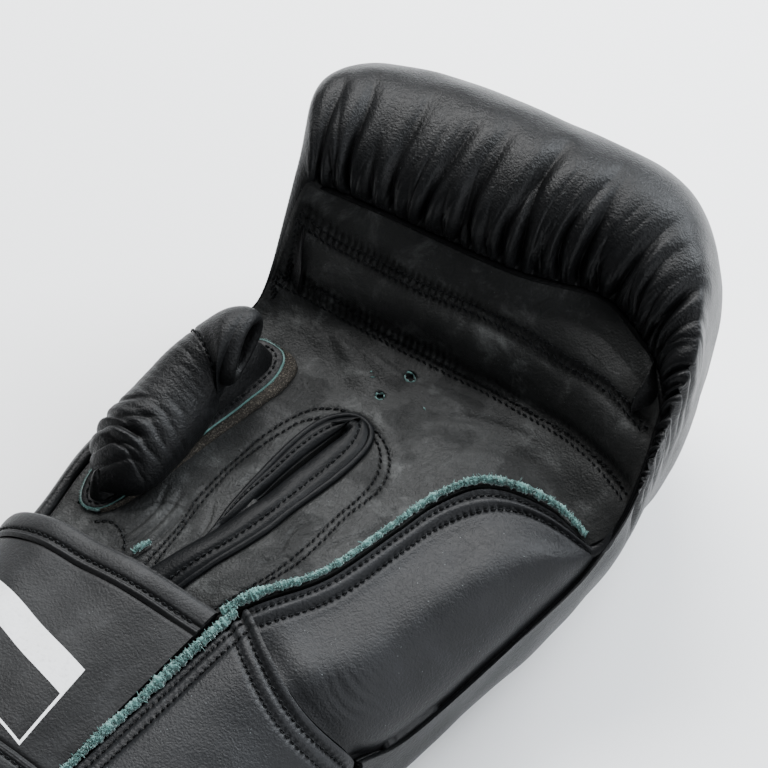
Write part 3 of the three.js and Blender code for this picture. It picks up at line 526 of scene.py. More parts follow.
class Skin:
    """Points and faces of one piece, gathered in millimetres, with its marks for the material: painted shade
    and highlight, and wear.
    """

    def __init__(self):
        self.points = []
        self.faces = []
        self.painted_light_and_wear = []
        self.total = 0

    def add(self, points, faces, painted_light_and_wear=0.0):
        points = np.asarray(points, float).reshape(-1, 3)
        self.points.append(points)
        self.painted_light_and_wear.append(np.broadcast_to(np.asarray(painted_light_and_wear, float).reshape(-1), (len(points),)))
        self.faces.append(np.asarray(faces, int) + self.total)
        self.total += len(points)

    def grid(self, points, painted_light_and_wear=0.0, keep=None, flip=False):
        """A surface through a grid of points; keep says which of its cells stay."""
        cells = grid_cells(*points.shape[:2])
        if keep is not None:
            cells = cells[keep]
        cells = cells.reshape(-1, 4)
        self.add(points, cells[:, ::-1] if flip else cells, painted_light_and_wear)

    def band(self, first, second, painted_light_and_wear, flip=False):
        """A strip between two rows of points."""
        self.grid(np.stack([first, second]), painted_light_and_wear, flip=flip)

    def tube(self, path, radii, sides=8, flatten=1.0, up=(0, 0, 1), painted_light_and_wear=0.0):
        """A tube along a path, with one radius for each point, closed to a point where a radius is zero."""
        path = np.asarray(path, float)
        along = unit(np.gradient(path, axis=0))
        across = unit(np.cross(along, np.broadcast_to(np.asarray(up, float), path.shape)))
        lift = np.cross(across, along)
        angle = np.linspace(0, TAU, sides + 1)
        ring = (across[:, None] * np.cos(angle)[None, :, None]
                + lift[:, None] * (np.sin(angle) * flatten)[None, :, None])
        self.grid(path[:, None] + ring * np.asarray(radii, float)[:, None, None], painted_light_and_wear)

    def piece(self, name, material, replaces=()):
        """The finished object, riding on the glove's body."""
        points = np.concatenate(self.points) * MM
        faces = [face for part in self.faces for face in part.tolist()]
        mesh = bpy.data.meshes.new(name)
        mesh.from_pydata(points.tolist(), [], faces)
        mark = mesh.attributes.new("painted_light_and_wear", "FLOAT", "POINT")
        mark.data.foreach_set("value", np.concatenate(self.painted_light_and_wear).astype(np.float32))
        mesh.polygons.foreach_set("use_smooth", np.ones(len(mesh.polygons), bool))
        mesh.materials.append(material)
        mesh.update()
        piece = bpy.data.objects.new(name, mesh)
        bpy.context.scene.collection.objects.link(piece)
        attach(piece, "root")
        if replaces:
            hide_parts(*replaces)
        return piece


def softened(points, rounds):
    """A grid of points with its inner points drawn towards their neighbours."""
    points = points.copy()
    for _ in range(rounds):
        around = points[:-2, 1:-1] + points[2:, 1:-1] + points[1:-1, :-2] + points[1:-1, 2:]
        points[1:-1, 1:-1] = mix(points[1:-1, 1:-1], around / 4, 0.5)
    return points


def run_smooth(rows, rounds):
    """Rows of values drawn towards the rows before and after them."""
    rows = rows.copy()
    for _ in range(rounds):
        rows[1:-1] = mix(rows[1:-1], (rows[:-2] + rows[2:]) / 2, 0.5)
    return rows


def surface_tree(points):
    """A tree of a grid of points, to set things down on it."""
    cells = grid_cells(*points.shape[:2])
    return BVHTree.FromPolygons(points.reshape(-1, 3).tolist(), cells.reshape(-1, 4).tolist())


# Heights in millimetres: over the whole glove, and of the palm beside a place that the surface doesn't reach
DROP_HEIGHT = 200.0
PALM_LEVEL = 64.0


def set_down(tree, plan):
    """Points and normals where plan places meet a surface from above."""
    places, normals = [], []
    for x, y in np.asarray(plan, float)[:, :2]:
        hit, normal, _, _ = tree.ray_cast(Vector((x, y, DROP_HEIGHT)), Vector((0, 0, -1)))
        if hit is None:
            hit, normal, _, _ = tree.find_nearest(Vector((x, y, PALM_LEVEL)))
        places.append(hit)
        normals.append(normal if normal.z > 0 else -normal)
    return np.array(places), np.array(normals)


def stitch_row(skin, path, normals, sizes, seed, lift, skew=0.0):
    """A row of thread stitches along a path that lies on a surface."""
    maker = np.random.default_rng(seed)
    lengths = arc_lengths(path)
    count = int(lengths[-1] / sizes.stitch_pitch)
    bend = np.array([-0.55, 0.1, 0.42, 0.1, -0.55])
    thick = np.array([0.55, 1.0, 1.1, 1.0, 0.55])
    for i in range(count):
        middle = (i + 0.5) * sizes.stitch_pitch + maker.normal(0, 0.1)
        half = sizes.stitch_length / 2 * maker.uniform(0.88, 1.08)
        where = middle + np.linspace(-half, half, 5)
        place = at_lengths(path, lengths, where)
        up = unit(at_lengths(normals, lengths, middle))
        side = unit(np.cross(up, place[-1] - place[0]))
        slant = (skew + maker.normal(0, 0.12)) * np.linspace(-1, 1, 5)
        place = place + up * (lift + bend * 0.9)[:, None] + side * slant[:, None]
        skin.tube(place, sizes.thread_radius * thick, sides=6, up=tuple(up))


def sunk(distance, width):
    return np.exp(-(distance / width) ** 2)


def stitch_ribs(along, pitch):
    """Small ribs of leather from stitch to stitch of a seam."""
    return 0.85 + 0.25 * np.cos(TAU * along / pitch)


def fold_profile(offset, lip, spread, power):
    """A crease at zero offset, with a raised lip on both of its sides."""
    return lip * np.exp(-(offset / spread) ** 2) - np.exp(-np.abs(offset) ** power)


def along_columns(grid, columns):
    """Places on a grid at one fractional column for each of its rows."""
    low = np.clip(np.floor(columns).astype(int), 0, grid.shape[1] - 2)
    i = np.arange(len(grid))
    return mix(grid[i, low], grid[i, low + 1], (columns - low)[:, None])


def edge_stitches(skin, grid, normals, from_edge, distance, ends, sizes, seed, skew):
    """A row of stitches at one distance from a grid's edge, with rows left out at both ends."""
    columns = np.array([np.interp(distance, row, np.arange(len(row))) for row in from_edge])
    path, up = along_columns(grid, columns)[ends], along_columns(normals, columns)[ends]
    stitch_row(skin, path, up, sizes, seed, lift=0.3, skew=skew)


# Materials

class Link:
    """A node's output that can be used in plain arithmetic."""

    def __init__(self, maker, socket):
        self.maker = maker
        self.socket = socket

    def _math(self, operation, a, b=None):
        values = {0: a} if b is None else {0: a, 1: b}
        return self.maker.node("ShaderNodeMath", {"operation": operation}, values)

    def __add__(self, other):
        return self._math("ADD", self, other)

    def __radd__(self, other):
        return self._math("ADD", other, self)

    def __sub__(self, other):
        return self._math("SUBTRACT", self, other)

    def __rsub__(self, other):
        return self._math("SUBTRACT", other, self)

    def __mul__(self, other):
        return self._math("MULTIPLY", self, other)

    def __rmul__(self, other):
        return self._math("MULTIPLY", other, self)

    def __gt__(self, other):
        return self._math("GREATER_THAN", self, other)

    def __lt__(self, other):
        return self._math("LESS_THAN", self, other)


class Finish:
    """A material under construction."""

    def __init__(self, name, slot):
        self.material = bpy.data.materials.new(name)
        self.material.use_nodes = True
        self.material["slot"] = slot
        self.tree = self.material.node_tree
        self.shader = self.tree.nodes["Principled BSDF"]

    def node(self, kind, settings=None, values=None, output=0):
        """A node of a type, with its settings made first and then its sockets' values or links."""
        node = self.tree.nodes.new(kind)
        for key, value in (settings or {}).items():
            setattr(node, key, value)
        for key, value in (values or {}).items():
            self.feed(node.inputs[key], value)
        return Link(self, node.outputs[output])

    def feed(self, socket, value):
        """A link into a socket, or else a plain value."""
        if isinstance(value, Link):
            self.tree.links.new(value.socket, socket)
        else:
            socket.default_value = value

    def place(self, scale=(1, 1, 1), turn=(0, 0, 0)):
        """Places on the piece, stretched and turned."""
        here = self.node("ShaderNodeTexCoord", output="Object")
        return self.node("ShaderNodeMapping", values={"Vector": here, "Scale": scale, "Rotation": turn})

    def noise(self, scale, detail=3.0, roughness=0.5, distortion=0.0, where=None):
        values = {"Scale": scale, "Detail": detail, "Roughness": roughness, "Distortion": distortion}
        values["Vector"] = where or self.place()
        return self.node("ShaderNodeTexNoise", values=values)

    def cells(self, scale, feature="F1", where=None):
        values = {"Scale": scale, "Vector": where or self.place()}
        return self.node("ShaderNodeTexVoronoi", {"feature": feature}, values, "Distance")

    def ramp(self, factor, low, high):
        """A value mapped smoothly from a range to 0 and 1."""
        values = {"Value": factor, "From Min": low, "From Max": high}
        return self.node("ShaderNodeMapRange", {"interpolation_type": "SMOOTHSTEP"}, values)

    def blend(self, factor, a, b):
        """A colour between two colours."""
        node = self.tree.nodes.new("ShaderNodeMix")
        node.data_type = "RGBA"
        colours = [socket for socket in node.inputs if socket.type == "RGBA"]
        for socket, value in zip([node.inputs[0], *colours], (factor, a, b)):
            self.feed(socket, value)
        return Link(self, next(socket for socket in node.outputs if socket.type == "RGBA"))

    def mark(self, name):
        return self.node("ShaderNodeAttribute", {"attribute_name": name}, output="Fac")

    def bump(self, height, distance, strength=1.0, before=None):
        values = {"Height": height, "Distance": distance, "Strength": strength}
        if before is not None:
            values["Normal"] = before
        return self.node("ShaderNodeBump", values=values)

    def finish(self, **sockets):
        by_name = {socket.name.lower().replace(" ", "_"): socket for socket in self.shader.inputs}
        for name, value in sockets.items():
            self.feed(by_name[name], value)
        return self.material


def colour(values, strength=1.0):
    return (values[0] * strength, values[1] * strength, values[2] * strength, 1.0)


def leather(name, slot, tint, roughness, grain=1.0, worn=0.0, dust=0.0, creased=0.0, gloss=0.17):
    """Full-grain leather: pores, short wrinkles, worn patches, fine dust, painted shade in its crease lines,
    and painted shade and highlight from the mesh's marks.
    """
    make = Finish(name, slot)
    painted_light_and_wear = make.mark("painted_light_and_wear")
    cloud = make.noise(38.0, 4.0, 0.55)
    patches = make.ramp(make.noise(75.0, 9.0, 0.72, 0.4), 0.5, 0.8)
    pores = make.cells(1500.0, "SMOOTH_F1")
    wrinkles = make.noise(620.0, 4.0, 0.65, 1.2)
    lit = make.blend(make.ramp(cloud, 0.3, 0.75), colour(tint, 0.75), colour(tint, 1.25))
    # High marks lighten towards a rubbed tint: worn patches, and raised places that are partly rubbed and
    # partly painted highlight
    worn_and_highlit = make.blend(patches * worn + make.ramp(painted_light_and_wear, 0.0, 1.0) * 0.4, lit, colour(tint, 5.5))
    # Painted shade: low marks darken the leather in creases, seams, holes, gaps and insides
    base = make.blend(make.ramp(painted_light_and_wear, 0.0, -1.0), worn_and_highlit, colour(tint, 0.35))
    if dust:
        specks = make.cells(620.0) < 0.085
        sparse = make.noise(210.0, 2.0) > 0.6
        base = make.blend(specks * sparse * dust, base, (0.15, 0.17, 0.17, 1.0))
    rough = roughness + (cloud - 0.5) * 0.16 + patches * (0.12 * worn) + (pores - 0.4) * 0.08
    fine = make.bump(pores * 0.6 + wrinkles * 1.1, 0.0003 * grain, 0.7)
    if creased:
        warp = {"Vector": make.place(scale=(60, 60, 60)), "Scale": 1.0, "Detail": 3.0}
        warped = {0: make.place(), 1: make.node("ShaderNodeTexNoise", values=warp, output="Color")}
        where = make.node("ShaderNodeVectorMath", {"operation": "ADD"}, warped)
        lines = 1.0 - make.ramp(make.cells(120.0, "DISTANCE_TO_EDGE", where), 0.0, 0.06)
        lines = lines * make.ramp(make.noise(45.0, 3.0), 0.5, 0.68)
        folds = make.noise(150.0, 3.0, 0.6, 1.6, make.place(scale=(1.0, 0.35, 1.0), turn=(0, 0, 0.5)))
        fine = make.bump(lines * -creased + folds * creased, 0.0009, 0.8, before=fine)
        # Painted shade darkening the crease lines
        base = make.blend(lines * 0.6, base, colour(tint, 0.4))
    return make.finish(base_color=base, roughness=rough, normal=fine, specular_ior_level=gloss)


def suede(name, slot, tint):
    """Raw suede: fuzzy, uneven, lighter at the ends of its fibres, with painted highlight on the upper side
    of its torn edges.
    """
    make = Finish(name, slot)
    nap = make.noise(900.0, 5.0, 0.7)
    lumps = make.noise(260.0, 3.0, 0.6)
    base = make.blend(make.ramp(nap, 0.32, 0.72), colour(tint, 0.45), colour(tint, 1.25))
    base = make.blend(make.ramp(lumps, 0.35, 0.6), colour(tint, 0.55), base)
    tips_and_highlight = make.ramp(make.mark("painted_light_and_wear"), 0.0, 1.0)
    base = make.blend(tips_and_highlight * 0.6, base, (tint[0] * 1.5, tint[1] * 1.45, tint[2] * 1.45, 1.0))
    normal = make.bump(nap + lumps, 0.0006, 0.8)
    return make.finish(base_color=base, roughness=0.82 + nap * 0.15, normal=normal, sheen_weight=0.4,
                       specular_ior_level=0.25)


def felt(name, slot, tint):
    """Speckled fibre felt."""
    make = Finish(name, slot)
    fibres = make.noise(1900.0, 4.0, 0.75)
    specks = make.ramp(make.noise(2300.0, 2.0, 0.5), 0.52, 0.64)
    base = make.blend(make.ramp(fibres, 0.3, 0.7), colour(tint, 0.3), colour(tint, 1.0))
    base = make.blend(specks * 0.8, base, colour(tint, 4.0))
    normal = make.bump(fibres, 0.0008, 0.9)
    return make.finish(base_color=base, roughness=0.92, normal=normal, specular_ior_level=0.2)


def thread(name, slot, tint):
    """Waxed sewing thread with a twist."""
    make = Finish(name, slot)
    twist = make.node("ShaderNodeTexWave", {"bands_direction": "DIAGONAL"},
                      {"Scale": 900.0, "Distortion": 1.0, "Vector": make.place()}, "Fac")
    base = make.blend(twist, colour(tint, 0.5), colour(tint, 1.5))
    normal = make.bump(twist, 0.0002, 0.6)
    return make.finish(base_color=base, roughness=0.5 + twist * 0.15, normal=normal, specular_ior_level=0.12)


def print_paint(name, slot, tint):
    """Flat printed paint on leather, slightly cracked."""
    make = Finish(name, slot)
    grain = make.noise(700.0, 4.0, 0.6)
    base = make.blend(make.ramp(grain, 0.25, 0.5), colour(tint, 0.82), colour(tint, 1.0))
    normal = make.bump(grain, 0.0002, 0.4)
    return make.finish(base_color=base, roughness=0.5 + grain * 0.15, normal=normal)


def floor_finish(name, tint):
    make = Finish(name, "stage")
    cloud = make.noise(2.0, 2.0)
    base = make.blend(cloud, colour(tint, 0.985), colour(tint, 1.0))
    return make.finish(base_color=base, roughness=0.9, specular_ior_level=0.1)


MATERIALS = {}


def materials():
    """All of the glove's materials, made once."""
    if not MATERIALS:
        tones = bpy.context.scene.glove_colours
        MATERIALS.update(
            roll=leather("roll_leather", "black_leather", tones.roll, 0.4,
                         grain=0.9, worn=0.2, dust=0.4, gloss=0.13),
            palm=leather("palm_leather", "black_leather", tones.palm, 0.5,
                         grain=1.3, worn=0.9, dust=0.4, creased=0.5, gloss=0.15),
            pad=leather("pad_leather", "black_leather", tones.leather, 0.44,
                        grain=0.8, worn=0.1, dust=0.8, gloss=0.15),
            thumb=leather("thumb_leather", "black_leather", tones.roll, 0.46,
                          grain=1.2, worn=0.4, gloss=0.16),
            strap=leather("strap_leather", "strap_leather", tones.strap, 0.5,
                          grain=0.7, worn=0.25, dust=0.3, gloss=0.15),
            satin=leather("satin_leather", "satin_binding", tones.binding, 0.42,
                          grain=0.6, worn=0.1, gloss=0.08),
            teal=suede("teal_suede", "teal_suede", tones.suede),
            felt=felt("grey_felt", "grey_felt", tones.felt),
            thread=thread("black_thread", "black_leather", tones.thread),
            paint=print_paint("white_print", "strap_leather", tones.label),
        )
    return MATERIALS


def unless_quick(full):
    return full


def share(count):
    return max(6, int(count * unless_quick(1.0)))


# Back pad

FINE_FOLDS = 170

# Rim rows between which the seam tube is thin: the palm's raised edge covers it there
SEAM_COVERED = (12.2, 12.6, 14.8, 15.6)


def gathers(sizes, length):
    """Creases of the gathered roll: place along the seam, depth, width, length, lean, curl and phase."""
    maker = np.random.default_rng(11)
    folds = []
    place = 2.0
    long_turn = True
    while place < length - 2:
        along = place / length
        tight = 1 - 0.48 * smoothstep(along, 0.46, 0.22) - 0.35 * smoothstep(along, 0.88, 1.0)
        deep = maker.uniform(0.85, 1.2) if long_turn else maker.uniform(0.45, 0.8)
        reach = maker.uniform(40, 58) if long_turn else maker.uniform(18, 34)
        folds.append((place, sizes.gather_depth * deep * mix(0.4, 1.0, tight),
                      maker.uniform(1.25, 1.95) * mix(0.5, 1.0, tight), reach * mix(0.7, 1.0, tight),
                      maker.normal(0, 0.07), maker.uniform(0.3, 1.0), maker.uniform(0, TAU)))
        place += maker.uniform(4.6, 7.6) * tight
        long_turn = not long_turn or maker.uniform() < 0.25
    for _ in range(FINE_FOLDS):
        folds.append((maker.uniform(0, length), maker.uniform(0.25, 0.9), maker.uniform(0.35, 0.8),
                      maker.uniform(14, 50), maker.normal(0, 0.12), maker.uniform(0, 0.8),
                      maker.uniform(0, TAU)))
    return folds


def gather_height(along, up, folds):
    height = np.zeros_like(up)
    along = np.broadcast_to(along, up.shape)
    for place, depth, width, length, lean, curl, phase in folds:
        x = np.abs(along - place - lean * up - curl * np.sin(up / 7 + phase))
        rise = 1 - np.exp(-(up + 0.35) / 1.6)
        fall = np.clip(1 - (up / length) ** 1.3, 0, 1)
        spread = width * (0.8 + up / 40)
        height += rise * fall * depth * fold_profile(x / spread, 0.4, 2.3, 1.4)
    return height


def build_back_pad(sizes):
    skin = Skin()
    last = len(RIM["x"]) - 1
    gather_from, gather_to = RIM_SIDE_TIP + 1, RIM_INDEX_CORNER + 0.6
    marks = np.concatenate([
        evenly(rim_point, 0, gather_from, share(70))[:-1],
        evenly(rim_point, gather_from, gather_to, share(560)),
        evenly(rim_point, gather_to, last, share(90))[1:],
    ])
    stages = np.concatenate([
        np.linspace(0, 1, share(52))[:-1] ** 1.15,
        np.linspace(1, 2, share(26))[:-1],
        np.linspace(2, 3, share(20)),
    ])
    outer = np.stack([back_point(marks, t) for t in stages])
    rim_length = arc_lengths(rim_point(marks))
    begins = np.interp(gather_from, marks, rim_length)
    ends = np.interp(gather_to, marks, rim_length)
    up = arc_lengths(outer)
    folds = gathers(sizes, ends - begins)
    height = gather_height(rim_length - begins, up, folds)
    height *= window(rim_length, begins - 4, begins + 8, ends - 5, ends + 5)[None, :]
    normals = grid_normals(outer)
    over_crest = stages.searchsorted(1.2), len(marks) // 2
    if normals[over_crest] @ (outer[over_crest] - np.array([20.0, 20.0, 40.0])) < 0:
        normals = -normals
    soft = ripple(outer, 46, 3) * 0.5 + ripple(outer, 17, 4) * 0.2
    calm = smoothstep(up, 1, 14) * smoothstep(outer[..., 2], 0.5, 12)
    puffed = outer + normals * (height + soft * calm)[..., None]
    puffed[..., 2] = np.maximum(puffed[..., 2], 0.0)
    puffed[0] = outer[0]
    # Painted shade in the gathers' valleys; the ridges are marked lighter, partly painted highlight
    painted_light_and_wear = np.clip(height / sizes.gather_depth, -1, 1)
    painted_light_and_wear = np.where(painted_light_and_wear < 0, painted_light_and_wear * 1.2, painted_light_and_wear * 0.3)
    skin.grid(puffed, painted_light_and_wear)
    foot = puffed[-1]
    half = len(foot) // 2
    pinky, thumb = foot[:half + 1], foot[half:][::-1]
    matched = stretched(thumb, len(pinky))
    skin.grid(np.stack([mix(pinky, matched, t) for t in np.linspace(0, 1, 14)]))
    seam_marks = np.linspace(0, last, 240)
    covered = window(seam_marks, *SEAM_COVERED)
    # A dark tube under the rim's seam: painted shade that closes the view into the gap
    skin.tube(rim_point(seam_marks) - 1.1 * UP, 1.15 - 0.8 * covered, painted_light_and_wear=-0.7)
    coarse_step = unless_quick(5)
    coarse = marks[::coarse_step]
    # The inside surfaces and the walls to them are painted in shade
    inner = np.stack([back_point(coarse, t, True) for t in np.linspace(0, 3, 26)])
    skin.grid(inner, -0.5, flip=True)
    floor_half = len(coarse) // 2
    low, high = inner[-1][:floor_half + 1], inner[-1][floor_half:][::-1]
    count = min(len(low), len(high))
    skin.band(low[:count], high[:count], -0.5, flip=True)
    skin.band(puffed[0][::coarse_step], inner[0], -0.5)
    for column in (0, -1):
        skin.band(puffed[:, column], stretched(inner[:, column], len(puffed)), -0.3, flip=column == 0)
    piece = skin.piece("back_pad_leather", materials()["roll"], ["back_pad"])


# Palm

PALM = {}

# Opening of the palm under the thumb, from share to share across and along it
THUMB_HOLE = (0.055, 0.2, 0.2, 0.45)

# Share along the palm beyond which its index edge runs on over the seam
PALM_TURNED = 0.66

# Stitched seams of the palm: line, depth and width of the seam, and slant of its stitches
PALM_SEAMS = (
    ("grip", 0.9, 1.3, 0.3),
    ("grip_low", 0.9, 1.3, -0.3),
    ("crease", 1.1, 1.3, 0.3),
    ("crease_low", 0.9, 1.2, -0.3),
    ("teardrop", 0.5, 1.0, 0.25),
    ("teardrop_inner", 0.45, 0.9, 0.25),
    ("wrist", 0.4, 0.9, 0.2),
)


def shifted(line, distance):
    """A plan line moved sideways, to its left where distance is above zero."""
    line = np.asarray(line, float)
    along = unit(np.gradient(line, axis=0))
    return line + np.stack([-along[:, 1], along[:, 0]], axis=1) * distance


def palm_lines():
    grip = resampled(GRIP_LINE)
    crease = resampled(CREASE_LINE)
    return {
        "grip": grip,
        "grip_low": shifted(grip, -1.9),
        "crease": crease,
        "crease_low": shifted(crease, -2.0),
        "teardrop": resampled(TEARDROP_LINE),
        "teardrop_inner": resampled(TEARDROP_INNER_LINE),
        "wrist": resampled(WRIST_LINE),
    }


# Long creases of the palm in plan millimetres, with their depths
PALM_CREASES = (
    (((-38, 14), (-28, 9), (-20, 3), (-12, -2)), 0.9, 3.3),
    (((-28, 15), (-16, 9), (-6, 4), (2, 2)), 0.3, 2.6),
    (((-36, 8), (-26, 2), (-17, -3), (-8, -4)), 0.5, 3.0),
    (((-40, -86), (-37, -78), (-36, -70), (-38, -62)), 0.5, 1.1),
    (((-36, -88), (-33, -79), (-32, -70), (-33, -61)), 0.6, 1.2),
    (((-32, -90), (-29, -81), (-28, -72), (-29, -64)), 0.55, 1.0),
    (((-43, -76), (-38, -70), (-33, -67), (-27, -67)), 0.4, 0.9),
    (((-22, -84), (-19, -76), (-19, -68), (-22, -60)), 0.35, 0.8),
    (((-24, -58), (-20, -54), (-18, -48), (-19, -42)), 0.3, 0.8),
    (((3, -74), (6, -66), (5, -58), (8, -50)), 0.35, 0.8),
    (((0, -70), (5, -70), (9, -66), (13, -67)), 0.35, 0.8),
    (((4, -60), (9, -57), (13, -52), (20, -50)), 0.3, 0.7),
    (((2, -84), (8, -80), (14, -80), (20, -77)), 0.5, 0.9),
    (((16, -60), (20, -52), (24, -46), (25, -38)), 0.3, 0.9),
    (((20, -10), (30, -3), (40, 2), (54, 5)), 0.4, 2.4),
    (((10, -4), (22, 4), (34, 9), (50, 10)), 0.3, 1.6),
    (((-10, 12), (4, 10), (18, 11), (34, 12)), 0.35, 1.4),
)


def build_palm(sizes):
    skin = Skin()
    columns, slit_column = share(200), share(122)
    rows = np.concatenate([
        np.linspace(0.004, SLIT_TOP, share(150))[:-1],
        np.linspace(SLIT_TOP, 0.9955, share(165)),
    ])
    v = rows[:, None]
    half = SLIT_WIDTH / 2 / palm_width(rows) * np.clip((1.04 * SLIT_TOP - rows) * 6, 0.02, 1)
    edge = SEAM_GAP / palm_width(rows)
    left, right = slit_middle(rows) - half, slit_middle(rows) + half
    j = np.arange(columns + 1)
    low = mix(edge[:, None], left[:, None], j[None, :] / slit_column)
    past = (j - slit_column - 1) / (columns - slit_column - 1)
    high = mix(right[:, None], 1 - edge[:, None], past[None, :])
    u = np.where(j[None, :] <= slit_column, low, high)
    base = palm_point(u, v)
    corners = smoothstep(v, 0.76, 0.9) * np.maximum(smoothstep(u, 0.72, 0.93), smoothstep(u, 0.22, 0.06))
    base = mix(base, softened(base, unless_quick(600)), corners[..., None])
    base = softened(base, unless_quick(60))
    normals = facing_up(grid_normals(base))
    plan = base[..., :2]
    lines = palm_lines()
    grip = np.clip((v - CREASE_LOW) / (CREASE_HIGH - CREASE_LOW), 0, 1)
    ends = window(u, 0.0, 0.14, 0.86, 1.0)
    height = GRIP_ROLL * np.sin(np.pi * grip) ** 1.2 * ends
    # Painted shade in the seams, creases, holes and slit, and painted highlight beside the creases
    shade = np.zeros_like(height)
    pitch = sizes.stitch_pitch / 0.5
    for name, depth, width, _ in PALM_SEAMS:
        near, where = line_distance(plan, lines[name])
        pucker = 0.8 + 0.3 * np.cos(TAU * where / pitch)
        height -= depth * sunk(near, width) * pucker
        shade -= 0.75 * sunk(near, width * 0.7)
    for name, depth, width in (("grip", 1.0, 4.5), ("crease", 1.5, 5.0), ("crease_low", 0.6, 3.0)):
        near, _ = line_distance(plan, lines[name])
        height -= depth * sunk(near, width)
    for line, depth, width in PALM_CREASES:
        dense = resampled(line)
        near, where = line_distance(plan, dense)
        fade = np.sin(np.pi * np.clip((where + 2) / (len(dense) + 4), 0, 1)) ** 0.6
        height += depth * fade * (0.55 * sunk(near, width * 2.2) - sunk(near, width * 0.85) * 1.6)
        shade -= 0.12 * fade * sunk(near, width * 0.5) * min(1, 0.6 / width)
        # Painted highlight on the lips beside each crease
        shade += 0.15 * fade * sunk(near - width * 1.6, width * 0.6)
    for x, y, radius in PUNCHED_HOLES:
        reach = np.hypot(plan[..., 0] - x, plan[..., 1] - y)
        inside_hole = smoothstep(reach, radius, radius * 0.72)
        height -= 2.0 * inside_hole
        shade -= 1.2 * inside_hole
    # The slit's gap is carved and painted in shade
    trench, _ = line_distance(plan, resampled(GAP_LINE))
    height -= 5.5 * sunk(trench, 1.3)
    shade -= 1.4 * sunk(trench, 1.6)
    ridge, _ = line_distance(plan, resampled(LIP_RIDGE_LINE))
    height -= 0.5 * sunk(ridge, 1.6)
    shade -= 0.5 * sunk(ridge - 1.0, 0.9)
    calm = window(u, 0.0, 0.05, 0.95, 1.0)
    on_palm = mix(0.35, 1.0, smoothstep(v, 0.8, 0.7))
    height += (ripple(base, 24, 21) * 0.45 + ripple(base, 9, 22) * 0.14) * calm * on_palm
    height *= smoothstep(v, 1.0, 0.985) * window(u, -0.002, 0.03, 0.97, 1.002)
    surface = base + normals * height[..., None]
    tail = between(PALM_ROWS, "left", np.interp(rows, PALM_ROWS["v"], np.arange(len(PALM_ROWS["v"]))))
    tail_rise = (between(RIM, "crest_z", tail) - between(RIM, "z", tail)) * CREST_HEIGHT
    raised = tail_rise[:, None] * window(v, 0.72, 0.8, 0.9, 1.0)
    surface[..., 2] += 0.75 * raised * smoothstep(u, 0.14, 0.0) ** 1.5
    i = np.arange(len(rows) - 1)[:, None]
    cell = np.arange(columns)[None, :]
    in_slit = (cell == slit_column) & (rows[i] < SLIT_TOP)
    middle_u = (u[:-1, :-1] + u[1:, 1:]) / 2
    left_u, right_u, low_v, high_v = THUMB_HOLE
    in_thumb = (middle_u > left_u) & (middle_u < right_u) & (rows[i] >= low_v) & (rows[i] < high_v)
    keep = ~(in_slit | in_thumb)
    skin.grid(surface, shade, keep=keep, flip=True)
    lining = surface - LEATHER * UP
    # The lining and the cut walls are painted in shade
    skin.grid(lining[::4, ::4], -0.6, keep=keep[::4, ::4][:len(lining[::4]) - 1, :len(lining[0, ::4]) - 1])
    for column, flip in ((0, False), (-1, True)):
        skin.band(surface[:, column], lining[:, column], -0.4, flip)
    for row in (0, -1):
        skin.band(surface[row], lining[row], -0.4)
    turned = rows > PALM_TURNED
    start, near = surface[turned, 4], surface[turned, 0] + 0.8 * UP
    far, end = back_point(tail[turned], 0.7) + 0.4 * UP, back_point(tail[turned], 1.15) - 0.2 * UP
    skin.grid(np.stack([bezier(start, near, far, end, t) for t in np.linspace(0, 1, 14)], axis=1), 0.0)
    wall = rows < SLIT_TOP
    for column in (slit_column, slit_column + 1):
        skin.band(surface[wall, column], lining[wall, column], -0.6)
    skin.piece("palm_leather", materials()["palm"], ["palm_panel"])
    PALM["tree"] = surface_tree(surface[::2, ::2])
    PALM["lines"] = lines


def palm_stitches(sizes):
    skin = Skin()
    tree, lines = PALM["tree"], PALM["lines"]
    for seed, (name, _, _, skew) in enumerate(PALM_SEAMS):
        path, normals = set_down(tree, lines[name][2:-2:2])
        stitch_row(skin, path, normals, sizes, seed, lift=0.3, skew=skew)
    skin.piece("palm_stitching", materials()["thread"])


def punched_marks():
    """Small punched holes of the palm, with torn rims, and nicks beside them."""
    rims = Skin()
    maker = np.random.default_rng(5)
    for x, y, radius in PUNCHED_HOLES:
        angle = np.linspace(0, TAU, 25)
        reach = radius * (1 + 0.12 * np.sin(2 * angle + x) + 0.06 * np.sin(5 * angle))
        ring = np.stack([x + np.cos(angle) * reach, y + np.sin(angle) * reach * 0.85], axis=1)
        path, normals = set_down(PALM["tree"], ring)
        rough = 0.24 + 0.14 * np.sin(5 * angle + x) + 0.1 * np.sin(11 * angle)
        rough[-1] = rough[0]
        rims.tube(path + normals * 0.15, np.maximum(rough, 0.06), sides=6)
    for x, y, turn, length in ((-6.5, 3.6, 0.5, 1.8), (13.4, 2.2, -0.5, 1.5), (-8.0, 5.0, 0.9, 0.9)):
        step = np.linspace(-0.5, 0.5, 7)[:, None] * length
        line = np.array([[x, y]]) + step * np.array([[math.cos(turn), math.sin(turn)]])
        path, normals = set_down(PALM["tree"], line)
        radii = 0.26 * np.sin(np.linspace(0.05, np.pi - 0.05, 7)) * maker.uniform(0.7, 1.2, 7)
        rims.tube(path + normals * 0.12, radii, sides=6)
    rims.piece("palm_torn_rims", materials()["teal"])


# Wrist slit and its lips

LIP_STITCHES = 0.29


